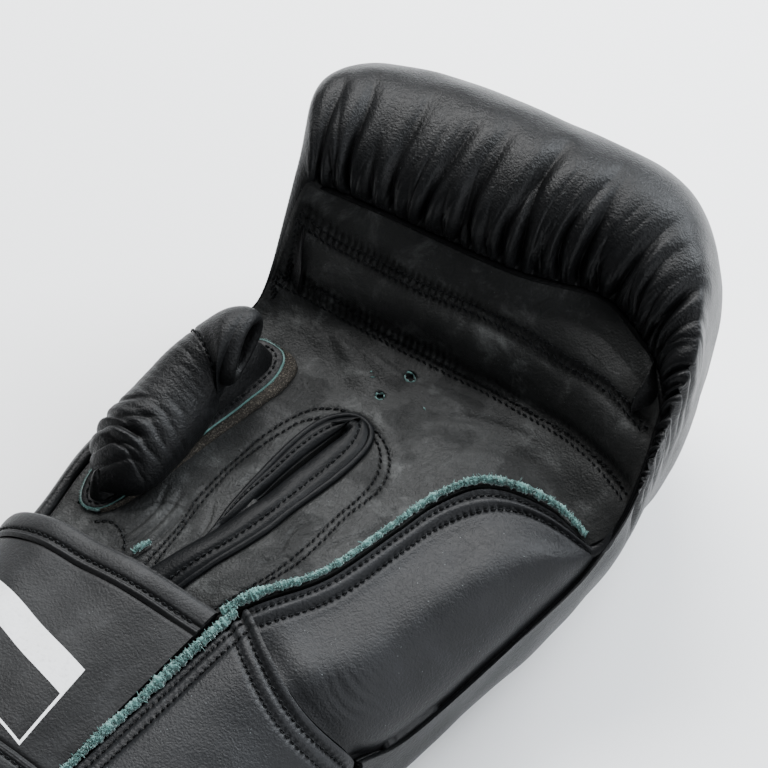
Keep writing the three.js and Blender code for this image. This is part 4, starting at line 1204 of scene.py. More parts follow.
def build_lips(sizes):
    tree = PALM["tree"]
    ridge = resampled(LIP_RIDGE_LINE, 0.8)
    turn = int(np.argmax(ridge[:, 1]))
    inner = resampled(LIP_INNER_LINE, 0.8)
    rows = np.linspace(0, 1, share(130))

    def along(line, rows):
        length = arc_lengths(line)
        return at_lengths(line, length, rows * length[-1])

    little_edge = along(ridge[turn:], rows)
    inner_edge = along(inner, rows)
    thumb_edge = along(ridge[:turn + 1][::-1], rows)
    across = np.linspace(0, 1, share(18))

    def strip(edge, gap, profile, seed):
        near, near_normals = (run_smooth(rows_of, 60) for rows_of in set_down(tree, edge))
        far, far_normals = (run_smooth(rows_of, 60) for rows_of in set_down(tree, gap))
        normals = unit(run_smooth(near_normals + far_normals, 40))
        points = mix(near[:, None], far[:, None], across[None, :, None])
        lift = profile(rows[:, None], across[None, :])
        wobble = ripple(points, 16, seed) * 0.07
        return points + normals[:, None] * (lift + wobble)[..., None], normals

    def little_profile(t, a):
        crown = 1.5 + 1.5 * np.sin(np.pi * np.clip(a, 0, 1)) ** 0.7 - 0.9 * smoothstep(a, 0.93, 1.0)
        stitched = -0.6 * sunk((a - 0.28) * 9, 0.8)
        return (crown + stitched) * smoothstep(t, -0.05, 0.04)

    def thumb_profile(t, a):
        dip = -1.3 * smoothstep(a, 0.8, 1.0) * smoothstep(t, 0.85, 0.55)
        crown = 1.2 + 0.9 * np.sin(np.pi * np.clip(a * 1.25, 0, 1)) ** 0.8
        stitched = -0.45 * sunk((a - 0.3) * 9, 0.8)
        flat = -0.9 * smoothstep(t, 0.55, 0.8)
        return np.maximum(crown + stitched + dip + flat, 0.3)

    gap = inner_edge + np.array([[-3.4, 0.6]]) * (1 - smoothstep(rows, 0.35, 0.6))[:, None]
    little, little_normals = strip(little_edge, inner_edge, little_profile, 31)
    thumb, thumb_normals = strip(thumb_edge, gap, thumb_profile, 37)
    for name, grid, node, normals in (("slit_lip_little_satin", little, "slit_lip_little", little_normals),
                                      ("slit_lip_thumb_satin", thumb, "slit_lip_thumb", thumb_normals)):
        skin = Skin()
        a = np.broadcast_to(across[None, :], grid.shape[:2])
        # Painted shade at the stitch channel and the inner edge, and on the dark underside
        shade = -0.6 * sunk((a - LIP_STITCHES) * 9, 0.5) - 0.9 * smoothstep(a, 0.95, 1.0)
        skin.grid(grid, shade, flip=True)
        under = np.stack([grid[:, -1], grid[:, -1] - normals * 1.6 + (grid[:, -2] - grid[:, -1]) * 2], axis=1)
        skin.grid(under, -1.0, flip=True)
        skin.piece(name, materials()["satin"], [node])
    path, normals = (run_smooth(rows_of, 12) for rows_of in set_down(tree, ridge))
    piping = Skin()
    swell = 1.0 + 0.08 * ripple(path, 12, 41)
    # The piping is marked slightly lighter
    piping.tube(path + normals * 0.75, 1.05 * swell, sides=12, painted_light_and_wear=0.1)
    piping.piece("slit_piping", materials()["satin"])
    seams = Skin()
    for grid, normals, seed in ((little, little_normals, 51), (thumb, thumb_normals, 52)):
        column = int(round(LIP_STITCHES * (len(across) - 1)))
        stitch_row(seams, grid[3:, column], normals[3:], sizes, seed, lift=0.25, skew=0.1)
    seams.piece("slit_stitching", materials()["thread"])
    puckers = Skin()
    maker = np.random.default_rng(77)
    top = ridge[turn]
    for k in range(5):
        lean = (k - 2) * 0.32 + maker.normal(0, 0.08)
        start = top + np.array([math.sin(lean) * 1.2 - 0.6, -2.4])
        line = np.array([start + np.array([math.sin(lean) * s - 0.35 * s, -math.cos(lean) * s]) for s in
                         np.linspace(0, maker.uniform(4, 7), 9)])
        path, normals = set_down(tree, line)
        radii = 0.75 * np.sin(np.linspace(0.15, np.pi - 0.1, 9)) ** 0.7
        puckers.tube(path + normals * 1.4, radii, sides=8, flatten=0.8)
    puckers.piece("slit_puckers", materials()["satin"])


# Side pad

SIDE_ROWS = (1.3, 5.8)


def build_side_pad(sizes):
    skin = Skin()
    s = np.linspace(0, 0.999, share(190))[:, None]
    shares = np.linspace(0, 1, share(130)) ** 1.15
    palm, back = side_pad_edge(s[:, 0])
    clear = SEAM_GAP / np.linalg.norm(palm - back, axis=1)
    w = mix(2 * clear[:, None], 1 - 0.5 * clear[:, None], shares[None, :])
    flat = side_pad_point(s, w, 0.001)
    from_seam = arc_lengths(flat.transpose(1, 0, 2)).T
    rise = mix(0.16, 1.0, smoothstep(from_seam, 2.5, 27)) * smoothstep(from_seam, -0.6, 0.6)
    base = flat + (side_pad_point(s, w, SIDE_PADDING) - flat) * rise[..., None]
    tip = int(0.55 * len(s))
    base[tip:] = softened(base[tip:], unless_quick(420))
    base = softened(base, unless_quick(90))
    normals = facing_up(grid_normals(base))
    to_rim = from_seam[:, -1:] - from_seam
    along = arc_lengths(base[:, base.shape[1] // 3])[:, None]
    full = smoothstep(s, 1.0, 0.93)
    seam_rows = 0.6 * sunk(from_seam - SIDE_ROWS[0], 0.8) + 0.9 * sunk(from_seam - SIDE_ROWS[1], 1.0)
    height = -seam_rows * stitch_ribs(along, sizes.stitch_pitch)
    height += 0.5 * sunk(from_seam - 3.2, 1.3)
    height -= 0.5 * sunk(to_rim, 2.0)
    height += (ripple(base, 34, 61) * 0.4 + ripple(base, 12, 62) * 0.1) * smoothstep(from_seam, 8, 16)
    near_cuff = arc_lengths(base)
    wrinkled = sunk(near_cuff - 14, 9) * smoothstep(from_seam, 18, 30) * smoothstep(to_rim, 6, 16)
    uneven = 0.5 + 0.5 * ripple(base, 18, 64)
    height += 0.14 * np.sin(near_cuff * 2.1 + ripple(base, 14, 63) * 5) * wrinkled * uneven
    height -= 1.4 * sunk(near_cuff, 4.5) * smoothstep(from_seam, 6, 14)
    surface = base + normals * (height * full)[..., None]
    shade = -0.55 * sunk(from_seam - SIDE_ROWS[0], 0.6) - 0.55 * sunk(from_seam - SIDE_ROWS[1], 0.7)
    shade = shade - 0.6 * sunk(to_rim, 1.0) - 0.5 * sunk(near_cuff, 1.5)
    skin.grid(surface, shade, flip=True)
    # The underside and the walls are painted in shade
    skin.grid(side_pad_point(s[::6], w[::6, ::6], 0), -0.5)
    for column in (0, -1):
        skin.band(surface[:, column], side_pad_point(s[:, 0], w[:, column], 0), -0.6)
    for row in (0, -1):
        skin.band(surface[row], side_pad_point(s[row, 0], w[row], 0), -0.6)
    # A dark tube in the corner seam: painted shade
    corner = np.stack([side_seam_point(6.6), side_seam_point(7.0), rim_point(3.15), rim_point(3.6)])
    corner = resampled(corner - np.array([0.6, 0, 1.6]), 0.8)
    skin.tube(corner, 2.1 * np.sin(np.linspace(0.3, np.pi - 0.3, len(corner))), sides=12, painted_light_and_wear=-0.4)
    piece = skin.piece("side_pad_leather", materials()["pad"], ["side_pad"])
    seams = Skin()
    for distance, seed, skew in ((SIDE_ROWS[0], 71, 0.25), (SIDE_ROWS[1], 72, 0.0)):
        edge_stitches(seams, surface, normals, from_seam, distance, slice(2, -6), sizes, seed, skew)
    seams.piece("side_pad_stitching", materials()["thread"])


# Cuff

CUFF_ROWS = (2.4, 6.6)
PINKY_ROWS = (3.4, 8.0)


def build_cuff(sizes):
    skin = Skin()
    marks = np.concatenate([np.linspace(0, CUFF_PINKY_ROW, share(130))[:-1],
                            np.linspace(CUFF_PINKY_ROW, CUFF_LAST, share(170))])
    depths = np.linspace(0, CUFF_LENGTH, share(110))
    base = cuff_point(marks[None, :], depths[:, None], 0)
    normals = grid_normals(base)
    out = base - np.array([-8.0, 0.0, 34.0])
    out[..., 1] = 0
    normals = np.where((normals * out).sum(axis=-1, keepdims=True) < 0, -normals, normals)
    from_slit = arc_lengths(base.transpose(1, 0, 2)).T
    from_front = arc_lengths(base)
    to_end = from_front[-1:] - from_front
    on_pinky = smoothstep(marks, CUFF_PINKY_ROW + 0.5, CUFF_PINKY_ROW - 0.6)[None, :]
    slit_rows = 1.1 * sunk(from_slit - CUFF_ROWS[0], 1.2) + 1.0 * sunk(from_slit - CUFF_ROWS[1], 1.3)
    height = -slit_rows * stitch_ribs(from_front, sizes.stitch_pitch)
    height -= 0.6 * smoothstep(from_slit, 9.0, 4.0)
    front_rows = 1.0 * sunk(from_front - PINKY_ROWS[0], 1.0) + 0.9 * sunk(from_front - PINKY_ROWS[1], 1.1)
    height -= front_rows * stitch_ribs(from_slit, sizes.stitch_pitch) * on_pinky
    height += 0.5 * sunk(from_front - 0.8, 1.5) * on_pinky
    height -= 2.6 * sunk(to_end, 3.4) + 0.8 * sunk(from_front, 2.0) * (1 - on_pinky)
    height += (ripple(base, 40, 81) * 0.5 + ripple(base, 14, 82) * 0.14) * smoothstep(from_slit, 9, 18)
    surface = base + normals * height[..., None]
    shade = -0.5 * sunk(from_slit - CUFF_ROWS[0], 0.9) - 0.5 * sunk(from_slit - CUFF_ROWS[1], 0.9)
    shade = shade - 0.5 * sum(sunk(from_front - row, 0.8) for row in PINKY_ROWS) * on_pinky
    skin.grid(surface, shade)
    # The inside, the mouth's lip and the end walls are painted in shade
    inner = cuff_point(marks[None, ::3], depths[::3, None], -CUFF_PADDING)
    inner += grid_normals(inner) * (ripple(inner, 22, 83) * 0.4)[..., None]
    skin.grid(inner, -0.4, flip=True)
    mouth_in = cuff_point(marks, CUFF_LENGTH, -CUFF_PADDING)
    lip = []
    for t in np.linspace(0, 1, 13):
        ring = mix(surface[-1], mouth_in, t)
        ring[:, 1] -= 1.6 * np.sin(np.pi * t) ** 0.6
        lip.append(ring)
    skin.grid(np.stack(lip), -0.15)
    skin.band(surface[0], cuff_point(marks, 0, -CUFF_PADDING), -0.5, flip=True)
    for column in (0, -1):
        inside = cuff_point(marks[column], depths, -CUFF_PADDING)
        wall = np.stack([mix(surface[:, column], inside, t) for t in np.linspace(0, 1, 8)])
        skin.grid(wall, -0.4, flip=column == 0)
    piece = skin.piece("cuff_leather", materials()["pad"], ["cuff_pad"])
    seams = Skin()
    for distance, seed, skew in ((CUFF_ROWS[0], 91, 0.3), (CUFF_ROWS[1], 92, 0.0)):
        edge_stitches(seams, surface, normals, from_slit, distance, slice(4, -4), sizes, seed, skew)
    pinky = (marks > 0.35) & (marks < CUFF_PINKY_ROW)
    across, up = (rows.transpose(1, 0, 2)[pinky] for rows in (surface, normals))
    for distance, seed in zip(PINKY_ROWS, (93, 94)):
        edge_stitches(seams, across, up, from_front.T[pinky], distance, slice(None), sizes, seed, 0.2)
    seams.piece("cuff_stitching", materials()["thread"])


# Strap

STRAP_TOP = SEAM_GAP + STRAP_THICKNESS
STRAP_LOW = STRAP_WIDTH - STRAP_OVERLAP
BINDING_STITCHES = 7.2

# The blank label's bars: first and last ring row, and how far down its upper and lower edges lie
LABEL_END = 7.33
LABEL_BARS = (
    (4.6, LABEL_END, 0.0, 9.8),
    (7.28, LABEL_END, 9.8, 28.0),
    (4.6, LABEL_END, 27.2, 28.0),
)


def strap_height(around):
    """Height of the strap's uneven leather over the cuff's ring."""
    return STRAP_TOP + 0.25 * ripple(around, 30, 101) + 0.08 * ripple(around, 10, 102)


def build_strap(sizes):
    marks = evenly(lambda at: ring_point(STRAP_RING, at, 0), 0, STRAP_LAST + 0.16, share(240))
    depths = np.linspace(-STRAP_OVERLAP, STRAP_LOW, share(120))
    from_top = (depths + STRAP_OVERLAP)[:, None]
    to_low = (STRAP_LOW - depths)[:, None]
    field = strap_height(ring_point(STRAP_RING, marks[None, :], depths[:, None]))
    field = field - 0.9 * smoothstep(from_top, 11, 9) - 0.9 * smoothstep(to_low, 11, 9)
    skin = Skin()
    shade = -0.7 * sunk(from_top - 10.3, 0.8) - 0.7 * sunk(to_low - 10.3, 0.8)
    skin.grid(ring_offset(STRAP_RING, marks[None, :], depths[:, None], field),
              np.broadcast_to(shade, (len(depths), len(marks))))
    # The strap's underside and end walls are painted in shade
    skin.grid(ring_offset(STRAP_RING, marks[None, ::4], depths[::4, None], SEAM_GAP), -0.5, flip=True)
    for column in (0, -1):
        low = ring_offset(STRAP_RING, marks[column], depths, SEAM_GAP)
        skin.band(ring_offset(STRAP_RING, marks[column], depths, field[:, column]), low, -0.4)
    skin.piece("strap_leather_band", materials()["strap"], ["wrist_strap"])
    width = BINDING_WIDTH + 2.0
    for name, node, start, way, seed in (
            ("strap_binding_upper", "strap_binding_top", -STRAP_OVERLAP, 1, 111),
            ("strap_binding_lower", "strap_binding_bottom", STRAP_LOW, -1, 112)):
        binding = Skin()
        turn = np.linspace(0, 1, share(46))
        across = width * turn
        lift = STRAP_TOP + 1.35 * np.sin(np.pi * np.clip(across / 8.4, 0, 1)) ** 0.5 - 0.2
        lift = lift - 0.55 * sunk(across - BINDING_STITCHES, 0.55) + 0.85 * sunk(across - 8.8, 0.8)
        lift = lift - (STRAP_TOP - SEAM_GAP - 0.4) * np.exp(-across / 0.45)
        where = start + way * across
        noise = ripple(ring_point(STRAP_RING, marks[None, :], where[:, None]), 16, seed) * 0.12
        grid = ring_offset(STRAP_RING, marks[None, :], where[:, None], lift[:, None] + noise)
        # Painted shade at the binding's stitch line and at its edge
        binding_shade = -0.8 * sunk(across - BINDING_STITCHES, 0.5) - 0.9 * sunk(across - 9.9, 0.4)
        binding.grid(grid, np.broadcast_to(binding_shade[:, None], grid.shape[:2]), flip=way < 0)
        binding.grid(ring_offset(STRAP_RING, marks[None, :], where[::8, None], 0.15), -0.5, flip=way > 0)
        binding.piece(name, materials()["strap"], [node])
        seams = Skin()
        place = start + way * BINDING_STITCHES
        path = ring_offset(STRAP_RING, marks, place, STRAP_TOP + 0.45)
        normals = ring_out(STRAP_RING, marks, place)
        stitch_row(seams, path[2:-2], normals[2:-2], sizes, seed, lift=0.05)
        seams.piece(name.replace("binding", "stitching"), materials()["thread"])
    label = Skin()
    for first, last, top, low in LABEL_BARS:
        at = np.linspace(first, last, share(90))[None, :]
        slope = 36.0 + (at - LABEL_END) * 4.4 - STRAP_OVERLAP
        deep = slope + np.linspace(top, low, share(24))[:, None]
        at = np.broadcast_to(at, deep.shape)
        lift = strap_height(ring_point(STRAP_RING, at, deep)) + 0.14
        label.grid(ring_offset(STRAP_RING, at, deep, lift))
    label.piece("strap_blank_label", materials()["paint"])


# Raw suede edges

EDGE_STEP = unless_quick(0.28)
FIBRES_PER_MM = unless_quick(46)


def ragged_edge(name, node, path, normals, seed, thick):
    """A torn suede edge: a lumpy band with fibres that stand out of it."""
    maker = np.random.default_rng(seed)
    skin = Skin()
    lengths = arc_lengths(path)
    count = max(40, int(lengths[-1] / EDGE_STEP))
    where = np.linspace(0, lengths[-1], count)
    place = at_lengths(path, lengths, where)
    up = unit(at_lengths(normals, lengths, where))
    along = unit(np.gradient(place, axis=0))
    side = unit(np.cross(up, along))
    width = np.interp(where / lengths[-1], np.linspace(0, 1, len(thick)), thick)
    angle = np.linspace(0, TAU, 19)
    grain = maker.normal(0, 1, (count, 19))
    grain = (grain + np.roll(grain, 1, axis=0)) / 2
    lumps = (ripple(place, 3.2, seed) * 0.4 + ripple(place, 1.3, seed + 1) * 0.3)[:, None] + grain * 0.3
    lumps[:, -1] = lumps[:, 0]
    radius = width[:, None] * (0.5 + 0.5 * lumps)
    ring = (side[:, None] * (np.cos(angle)[None, :, None] * (radius * 0.8)[..., None])
            + up[:, None] * (np.sin(angle)[None, :, None] * (radius * 1.15)[..., None]))
    middle = place + up * (0.5 * width)[:, None]
    # The band's upper side is marked lighter: painted highlight
    skin.grid(middle[:, None] + ring, np.clip(np.sin(angle)[None, :] * 0.6 + lumps, 0, 1))
    for _ in range(int(lengths[-1] * FIBRES_PER_MM)):
        i = maker.integers(1, count - 1)
        turn = maker.uniform(-0.3, np.pi + 0.3)
        aside, upwards = side[i] * math.cos(turn), up[i] * math.sin(turn)
        root = middle[i] + (aside * 0.38 + upwards * 0.5) * width[i]
        way = unit(aside + upwards + along[i] * maker.normal(0, 0.7) + maker.normal(0, 0.25, 3))
        reach = min(maker.gamma(1.6, 0.13) * (0.6 + 0.3 * width[i]), 1.1)
        curl = maker.normal(0, 0.45, 3) * reach
        steps = np.array([0.0, 0.5, 1.0])[:, None]
        line = root + way * steps * reach + curl * steps**2
        skin.tube(line, np.array([0.2, 0.19, 0.09]) * maker.uniform(0.5, 1.3), sides=4, up=tuple(along[i]),
                  painted_light_and_wear=maker.uniform(0, 1))
    skin.piece(name, materials()["teal"], [node])


def seam_edge(name, node, seam, aside, height, lean, seed, thick):
    """A torn edge beside a seam, moved to the seam's left and up, that leans to the left."""
    along = unit(np.gradient(seam, axis=0))
    left = np.stack([-along[:, 1], along[:, 0], np.zeros(len(seam))], axis=1)
    ragged_edge(name, node, seam + left * aside + UP * height, unit(UP + left * lean), seed, thick)


def build_raw_edges():
    marks = evenly(side_seam_point, SIDE_SEAM_CUFF - 0.45, SIDE_SEAM_END - 0.2, 160)
    seam_edge("raw_edge_side_suede", "raw_edge_side", side_seam_point(marks), 1.2, 0.4, 0.5, 201,
              (2.8, 2.2, 1.5, 1.5, 1.6, 1.7, 1.9, 2.1, 2.0, 1.5))
    depths = np.linspace(0.03, 1, 150) * CUFF_LENGTH
    seam_edge("raw_edge_cuff_suede", "raw_edge_cuff", cuff_point(0, depths, 0)[::-1], 0.5, -0.5, 0.6, 202,
              (1.9, 2.3, 1.9, 2.6, 2.1, 2.8, 2.4, 2.0))


# Thumb

# Wrinkles of the thumb sleeve: mark along it, angle round it, depth, width, half turn, skew
THUMB_WRINKLES = (
    (0.9, 1.9, 1.5, 0.13, 1.3, 0.25), (1.25, 1.5, 1.7, 0.12, 1.2, 0.2), (1.55, 1.2, 1.2, 0.1, 1.0, 0.18),
    (1.85, 1.0, 0.9, 0.09, 0.9, 0.15), (0.65, 1.2, 1.0, 0.1, 1.2, 0.3), (2.15, 0.8, 0.8, 0.08, 0.7, 0.1),
    (2.5, 0.6, 0.6, 0.08, 0.7, 0.1), (2.8, 1.2, 0.45, 0.07, 0.8, 0.05), (3.2, 1.9, 0.5, 0.08, 0.8, 0.0),
    (3.55, 0.4, 0.8, 0.1, 0.7, -0.1), (2.2, 2.2, 0.5, 0.06, 0.7, 0.1), (2.65, 2.3, 0.4, 0.05, 0.6, 0.1),
)


def thumb_height(at, angle):
    height = np.zeros(np.broadcast(at, angle).shape)
    for mark, turn, depth, width, reach, skew in THUMB_WRINKLES:
        swing = (angle - turn + np.pi) % TAU - np.pi
        x = (at - mark - skew * swing - 0.04 * np.sin(swing * 5)) / width
        fade = np.clip(1 - (swing / reach) ** 2, 0, 1)
        height += 0.65 * depth * fade * fold_profile(x, 0.45, 2.2, 1.6)
    return height


# Folds across the base of the thumb: place along the glove, slope, depth and width, in millimetres
THUMB_FOLDS = (
    (-69.5, 0.35, 1.6, 1.1), (-65.5, 0.25, 2.4, 1.3), (-60.5, 0.2, 2.8, 1.5), (-55.5, 0.28, 1.8, 1.3),
    (-50.0, 0.15, 1.2, 1.1), (-63.0, 0.5, 0.8, 0.7), (-58.0, 0.0, 0.9, 0.7),
)


def thumb_folds(points):
    """Depth of the folds where the thumb meets the palm."""
    x, y = points[..., 0] + 50, points[..., 1]
    height = np.zeros(x.shape)
    for k, (place, slope, depth, width) in enumerate(THUMB_FOLDS):
        off = y - place - slope * x - 0.9 * np.sin(x / 3.4 + 2 * k)
        fade = smoothstep(x, 9 - k, 1 - k)
        height += depth * fade * fold_profile(off / width, 0.4, 2.2, 1.5)
    return height


HEM_STITCHES = 3.7
THUMB_TIP = np.array([-53.0, -76.5, 64.4])

# Rows of the rim's tube behind its turned edge: depth back into the sleeve and how far it closes
RIM_TUBE = ((1.5, 0.3), (3.0, 0.9), (4.5, 1.8), (6.0, 3.0))


def build_thumb(sizes):
    skin = Skin()
    angle = np.linspace(0, TAU, share(150))
    marks = np.linspace(0, THUMB_END - 1, share(170))
    body = thumb_point(marks[:, None], angle[None, :], 0.0)
    axis = body.mean(axis=1, keepdims=True)
    bulge = 3.2 * sunk(marks - 1.0, 1.2)[:, None] * (0.45 + 0.55 * np.cos(angle - 2.5))
    body = body + unit(body - axis) * np.maximum(bulge, 0)[..., None]
    seat = THUMB_SEAT * CREST_HEIGHT
    body[..., 2] = np.maximum(body[..., 2], seat)
    caps = np.linspace(0, 1, share(22))[:-1]
    cap = np.stack([mix(THUMB_TIP, body[0], np.sin(t * np.pi / 2)) for t in caps])
    _, forward, _, _ = thumb_frame(np.array(float(THUMB_END)))
    end = thumb_point(THUMB_END, angle, 0.4)
    hem_mid = end.mean(axis=0)
    joined = []
    steps = np.linspace(0, 1, share(46))[1:]
    for t in steps:
        row = mix(body[-1], end - forward * 2.4, t)
        middle = mix(body[-1].mean(axis=0), hem_mid, t)
        joined.append(row + unit(row - middle) * 2.4 * np.sin(np.pi * t) ** 0.8)
    base = np.concatenate([cap, body, np.stack(joined)])
    at = np.concatenate([caps / 2 - 0.5, marks, THUMB_END - 1 + steps])
    base = run_smooth(base, unless_quick(160))
    out = unit(base - base.mean(axis=1, keepdims=True))
    free = smoothstep(at, HEM_STITCHES, HEM_STITCHES - 0.4)[:, None]
    height = thumb_height(at[:, None], angle[None, :]) * free
    height += thumb_folds(base) * smoothstep(at, 2.6, 1.6)[:, None]
    fine = np.sin(at[:, None] * 40 + 4 * ripple(base, 12, 121)) * 0.07 * (0.5 + 0.5 * ripple(base, 14, 122))
    hem = np.abs(at[:, None] - HEM_STITCHES)
    seam = -0.45 * sunk(hem * 12, 0.8) + 0.35 * smoothstep(at, HEM_STITCHES, HEM_STITCHES + 0.1)[:, None]
    loft = smoothstep(base[..., 2], seat, seat + 3)
    loft = loft * smoothstep(at, THUMB_END, THUMB_END - 0.15)[:, None]
    sag = ripple(base, 15, 123) * 0.4 * free
    surface = base + out * ((height + fine * free + seam + sag) * loft)[..., None]
    surface[:, -1] = surface[:, 0]
    # Painted shade in the wrinkles and at the hem, painted highlight on the raised folds
    shade = np.clip(height * 0.6, -1, 0.2) - 0.6 * sunk(hem * 14, 0.6)
    skin.grid(surface, shade)
    skin.piece("thumb_sleeve_leather", materials()["thumb"], ["thumb_sleeve"])
    rim = Skin()
    outer = surface[-1]
    inwards = unit(hem_mid - outer)
    turn = np.linspace(0, np.pi, share(26))
    fat = 2.3 * (1.0 + 0.14 * np.sin(angle * 2 + 0.6))
    fold = [
        outer + inwards * (fat * (1 - np.cos(bend)))[:, None] + forward * (fat * 1.3 * np.sin(bend))[:, None]
        for bend in turn
    ]
    for depth, close in RIM_TUBE:
        fold.append(fold[len(turn) - 1] - forward * depth + inwards * close)
    roll = np.stack(fold)
    roll[1:] += unit(roll[1:] - hem_mid) * (ripple(roll[1:], 9, 133) * 0.12)[..., None]
    roll[:, -1] = roll[:, 0]
    # Painted shade that deepens into the sleeve
    deep = np.concatenate([np.linspace(0, -0.5, len(turn)), [-1.2, -1.6, -1.6, -1.6]])[:, None]
    rim.grid(roll, np.broadcast_to(deep, roll.shape[:2]))
    # A dark disc, painted shade, closes the hole
    rim.band(roll[-1], mix(roll[-1], roll[-1].mean(axis=0), 0.999), -1.6)
    rim.piece("thumb_rim_leather", materials()["thumb"], ["thumb_hole_rim"])
    seams = Skin()
    row = int(np.argmin(hem[:, 0]))
    visible = slice(0, int(len(angle) * 0.66))
    stitch_row(seams, surface[row][visible], out[row][visible], sizes, 131, lift=0.3)
    seams.piece("thumb_stitching", materials()["thread"])


# Rows of the flange, then of the mound where the thumb's base runs into it: growth outwards and lift
FLANGE_ROWS = ((-5.0, 0.6), (-4.0, 2.2), (-2.2, 1.9), (-1.2, 1.7), (-0.2, 1.75), (0.0, 1.5))
MOUND_ROWS = (
    (-2.8, 1.4), (-3.2, 2.1), (-3.8, 3.0), (-4.6, 3.9), (-5.6, 4.6), (-6.8, 5.2), (-8.2, 5.6), (-10.0, 5.8),
    (-12.5, 5.9),
)
CUT_EDGE_ROWS = ((0.0, 1.75), (0.35, 1.5), (0.45, 0.9), (0.3, 0.2))
CUT_EDGE_FIBRES = 900

# Rows across the felt strip: share of its width and lift
FELT_ROWS = (
    (0.0, 0.2), (0.02, 1.5), (0.2, 1.75), (0.4, 1.8), (0.6, 1.8), (0.8, 1.7), (0.95, 1.45), (1.0, 0.9),
    (1.0, 0.1),
)


def build_flange(sizes):
    tree = PALM["tree"]
    angle = np.linspace(0, TAU, share(220))

    def ring(grow, lift):
        u, v = flange_place(angle, grow)
        points = palm_point(u, v)
        places, normals = set_down(tree, points[:, :2])
        return places + normals * np.broadcast_to(lift, len(places))[:, None]

    skin = Skin()
    rows = np.stack([ring(grow, lift) for grow, lift in FLANGE_ROWS])
    rows[..., 2] += ripple(rows, 11, 141) * 0.15
    # Painted shade on the flange's low rows
    skin.grid(rows, np.array([-0.5, 0, 0, -0.3, 0, 0])[:, None].repeat(len(angle), axis=1))
    high = 1 + 1.2 * np.maximum(0, np.cos(angle - 0.95)) ** 1.5
    high = high + 1.1 * np.maximum(0, np.cos(angle + 2.0)) ** 1.5
    mound = np.stack([ring(grow, lift * mix(1, high, min(1, lift / 4))) for grow, lift in MOUND_ROWS])
    finer = np.linspace(0, len(mound) - 1, share(50))
    low = np.clip(finer.astype(int), 0, len(mound) - 2)
    mound = run_smooth(mix(mound[low], mound[low + 1], (finer - low)[:, None, None]), 12)
    folded = thumb_folds(mound) * smoothstep(mound[..., 2], 65, 69)
    mound[..., 2] += folded * 0.8 + ripple(mound, 10, 143) * 0.4 + ripple(mound, 4, 144) * 0.1
    # Painted shade in the mound's folds, slight painted highlight on their lips
    skin.grid(mound, np.clip(folded * 0.5, -0.9, 0.2) - 0.1)
    skin.piece("thumb_flange_leather", materials()["thumb"], ["thumb_flange"])
    edge = Skin()
    edge.grid(np.stack([ring(grow, lift) for grow, lift in CUT_EDGE_ROWS]), 0.3)
    rim = ring(0.25, 1.35)
    maker = np.random.default_rng(17)
    for _ in range(int(CUT_EDGE_FIBRES * unless_quick(1))):
        i = maker.integers(1, len(rim) - 1)
        outwards = unit(np.cross(rim[i + 1] - rim[i - 1], UP))
        way = unit(outwards * maker.uniform(0.2, 1) + maker.normal(0, 0.5, 3))
        line = rim[i] + way * np.array([0.0, 0.35, 0.7])[:, None] * maker.uniform(0.5, 1.3)
        edge.tube(line, np.array([0.1, 0.08, 0.02]), sides=4, painted_light_and_wear=0.6)
    edge.piece("thumb_flange_cut_edge", materials()["teal"])
    seams = Skin()
    path = ring(-1.9, 1.75)
    stitch_row(seams, path, np.broadcast_to(UP, path.shape), sizes, 142, lift=0.25)
    seams.piece("thumb_flange_stitching", materials()["thread"])
    strip = Skin()
    part = np.linspace(-0.42 * np.pi, 0.5 * np.pi, share(120))
    widths = 0.74 * FELT_WIDTH * (0.12 + 0.88 * np.sin(np.linspace(0, 0.5 * np.pi, len(part))) ** 0.9)
    widths *= smoothstep(np.linspace(0, 1, len(part)), 1.02, 0.72)

    def felt_row(share_across, lift):
        u, v = flange_place(part, 0.5 + share_across * widths)
        places, normals = set_down(tree, palm_point(u, v)[:, :2])
        return places + normals * lift

    rows = np.stack([felt_row(across, lift) for across, lift in FELT_ROWS])
    rows[1:-1, :, 2] += ripple(rows[1:-1], 2.2, 151) * 0.12
    strip.grid(rows)
    strip.piece("thumb_felt_strip", materials()["felt"], ["thumb_felt"])


def build_tab():
    low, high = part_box("strap_tab")
    centre = np.array([(low[k] + high[k]) / 2 / MM for k in range(3)])
    path = centre + np.linspace(-0.5, 0.5, 14)[:, None] * np.array([[2.4, 5.6, 0.4]]) - 0.9 * UP
    normals = np.broadcast_to(UP, path.shape)
    ragged_edge("strap_tab_suede", "strap_tab", path, normals, 203, (1.2, 1.9, 1.5, 1.3))


# Settings of the add-on

def length_setting(name, description, default, low, high):
    return bpy.props.FloatProperty(name=name, description=description + ", in mm", default=default,
                                   min=low, max=high)


def tint_setting(name, description, *default):
    return bpy.props.FloatVectorProperty(name=name, description=description, subtype="COLOR", default=default,
                                         min=0, max=1)


class GloveSizes(bpy.types.PropertyGroup):
    stitch_pitch: length_setting("Stitch pitch", "Distance from stitch to stitch", 2.3, 1.5, 6)
    stitch_length: length_setting("Stitch length", "Visible length of a stitch", 1.85, 1, 5)
    thread_radius: length_setting("Thread radius", "Radius of the thread", 0.27, 0.1, 1)
    gather_depth: length_setting("Gather depth", "Depth of the roll's creases", 5.6, 0.5, 7)


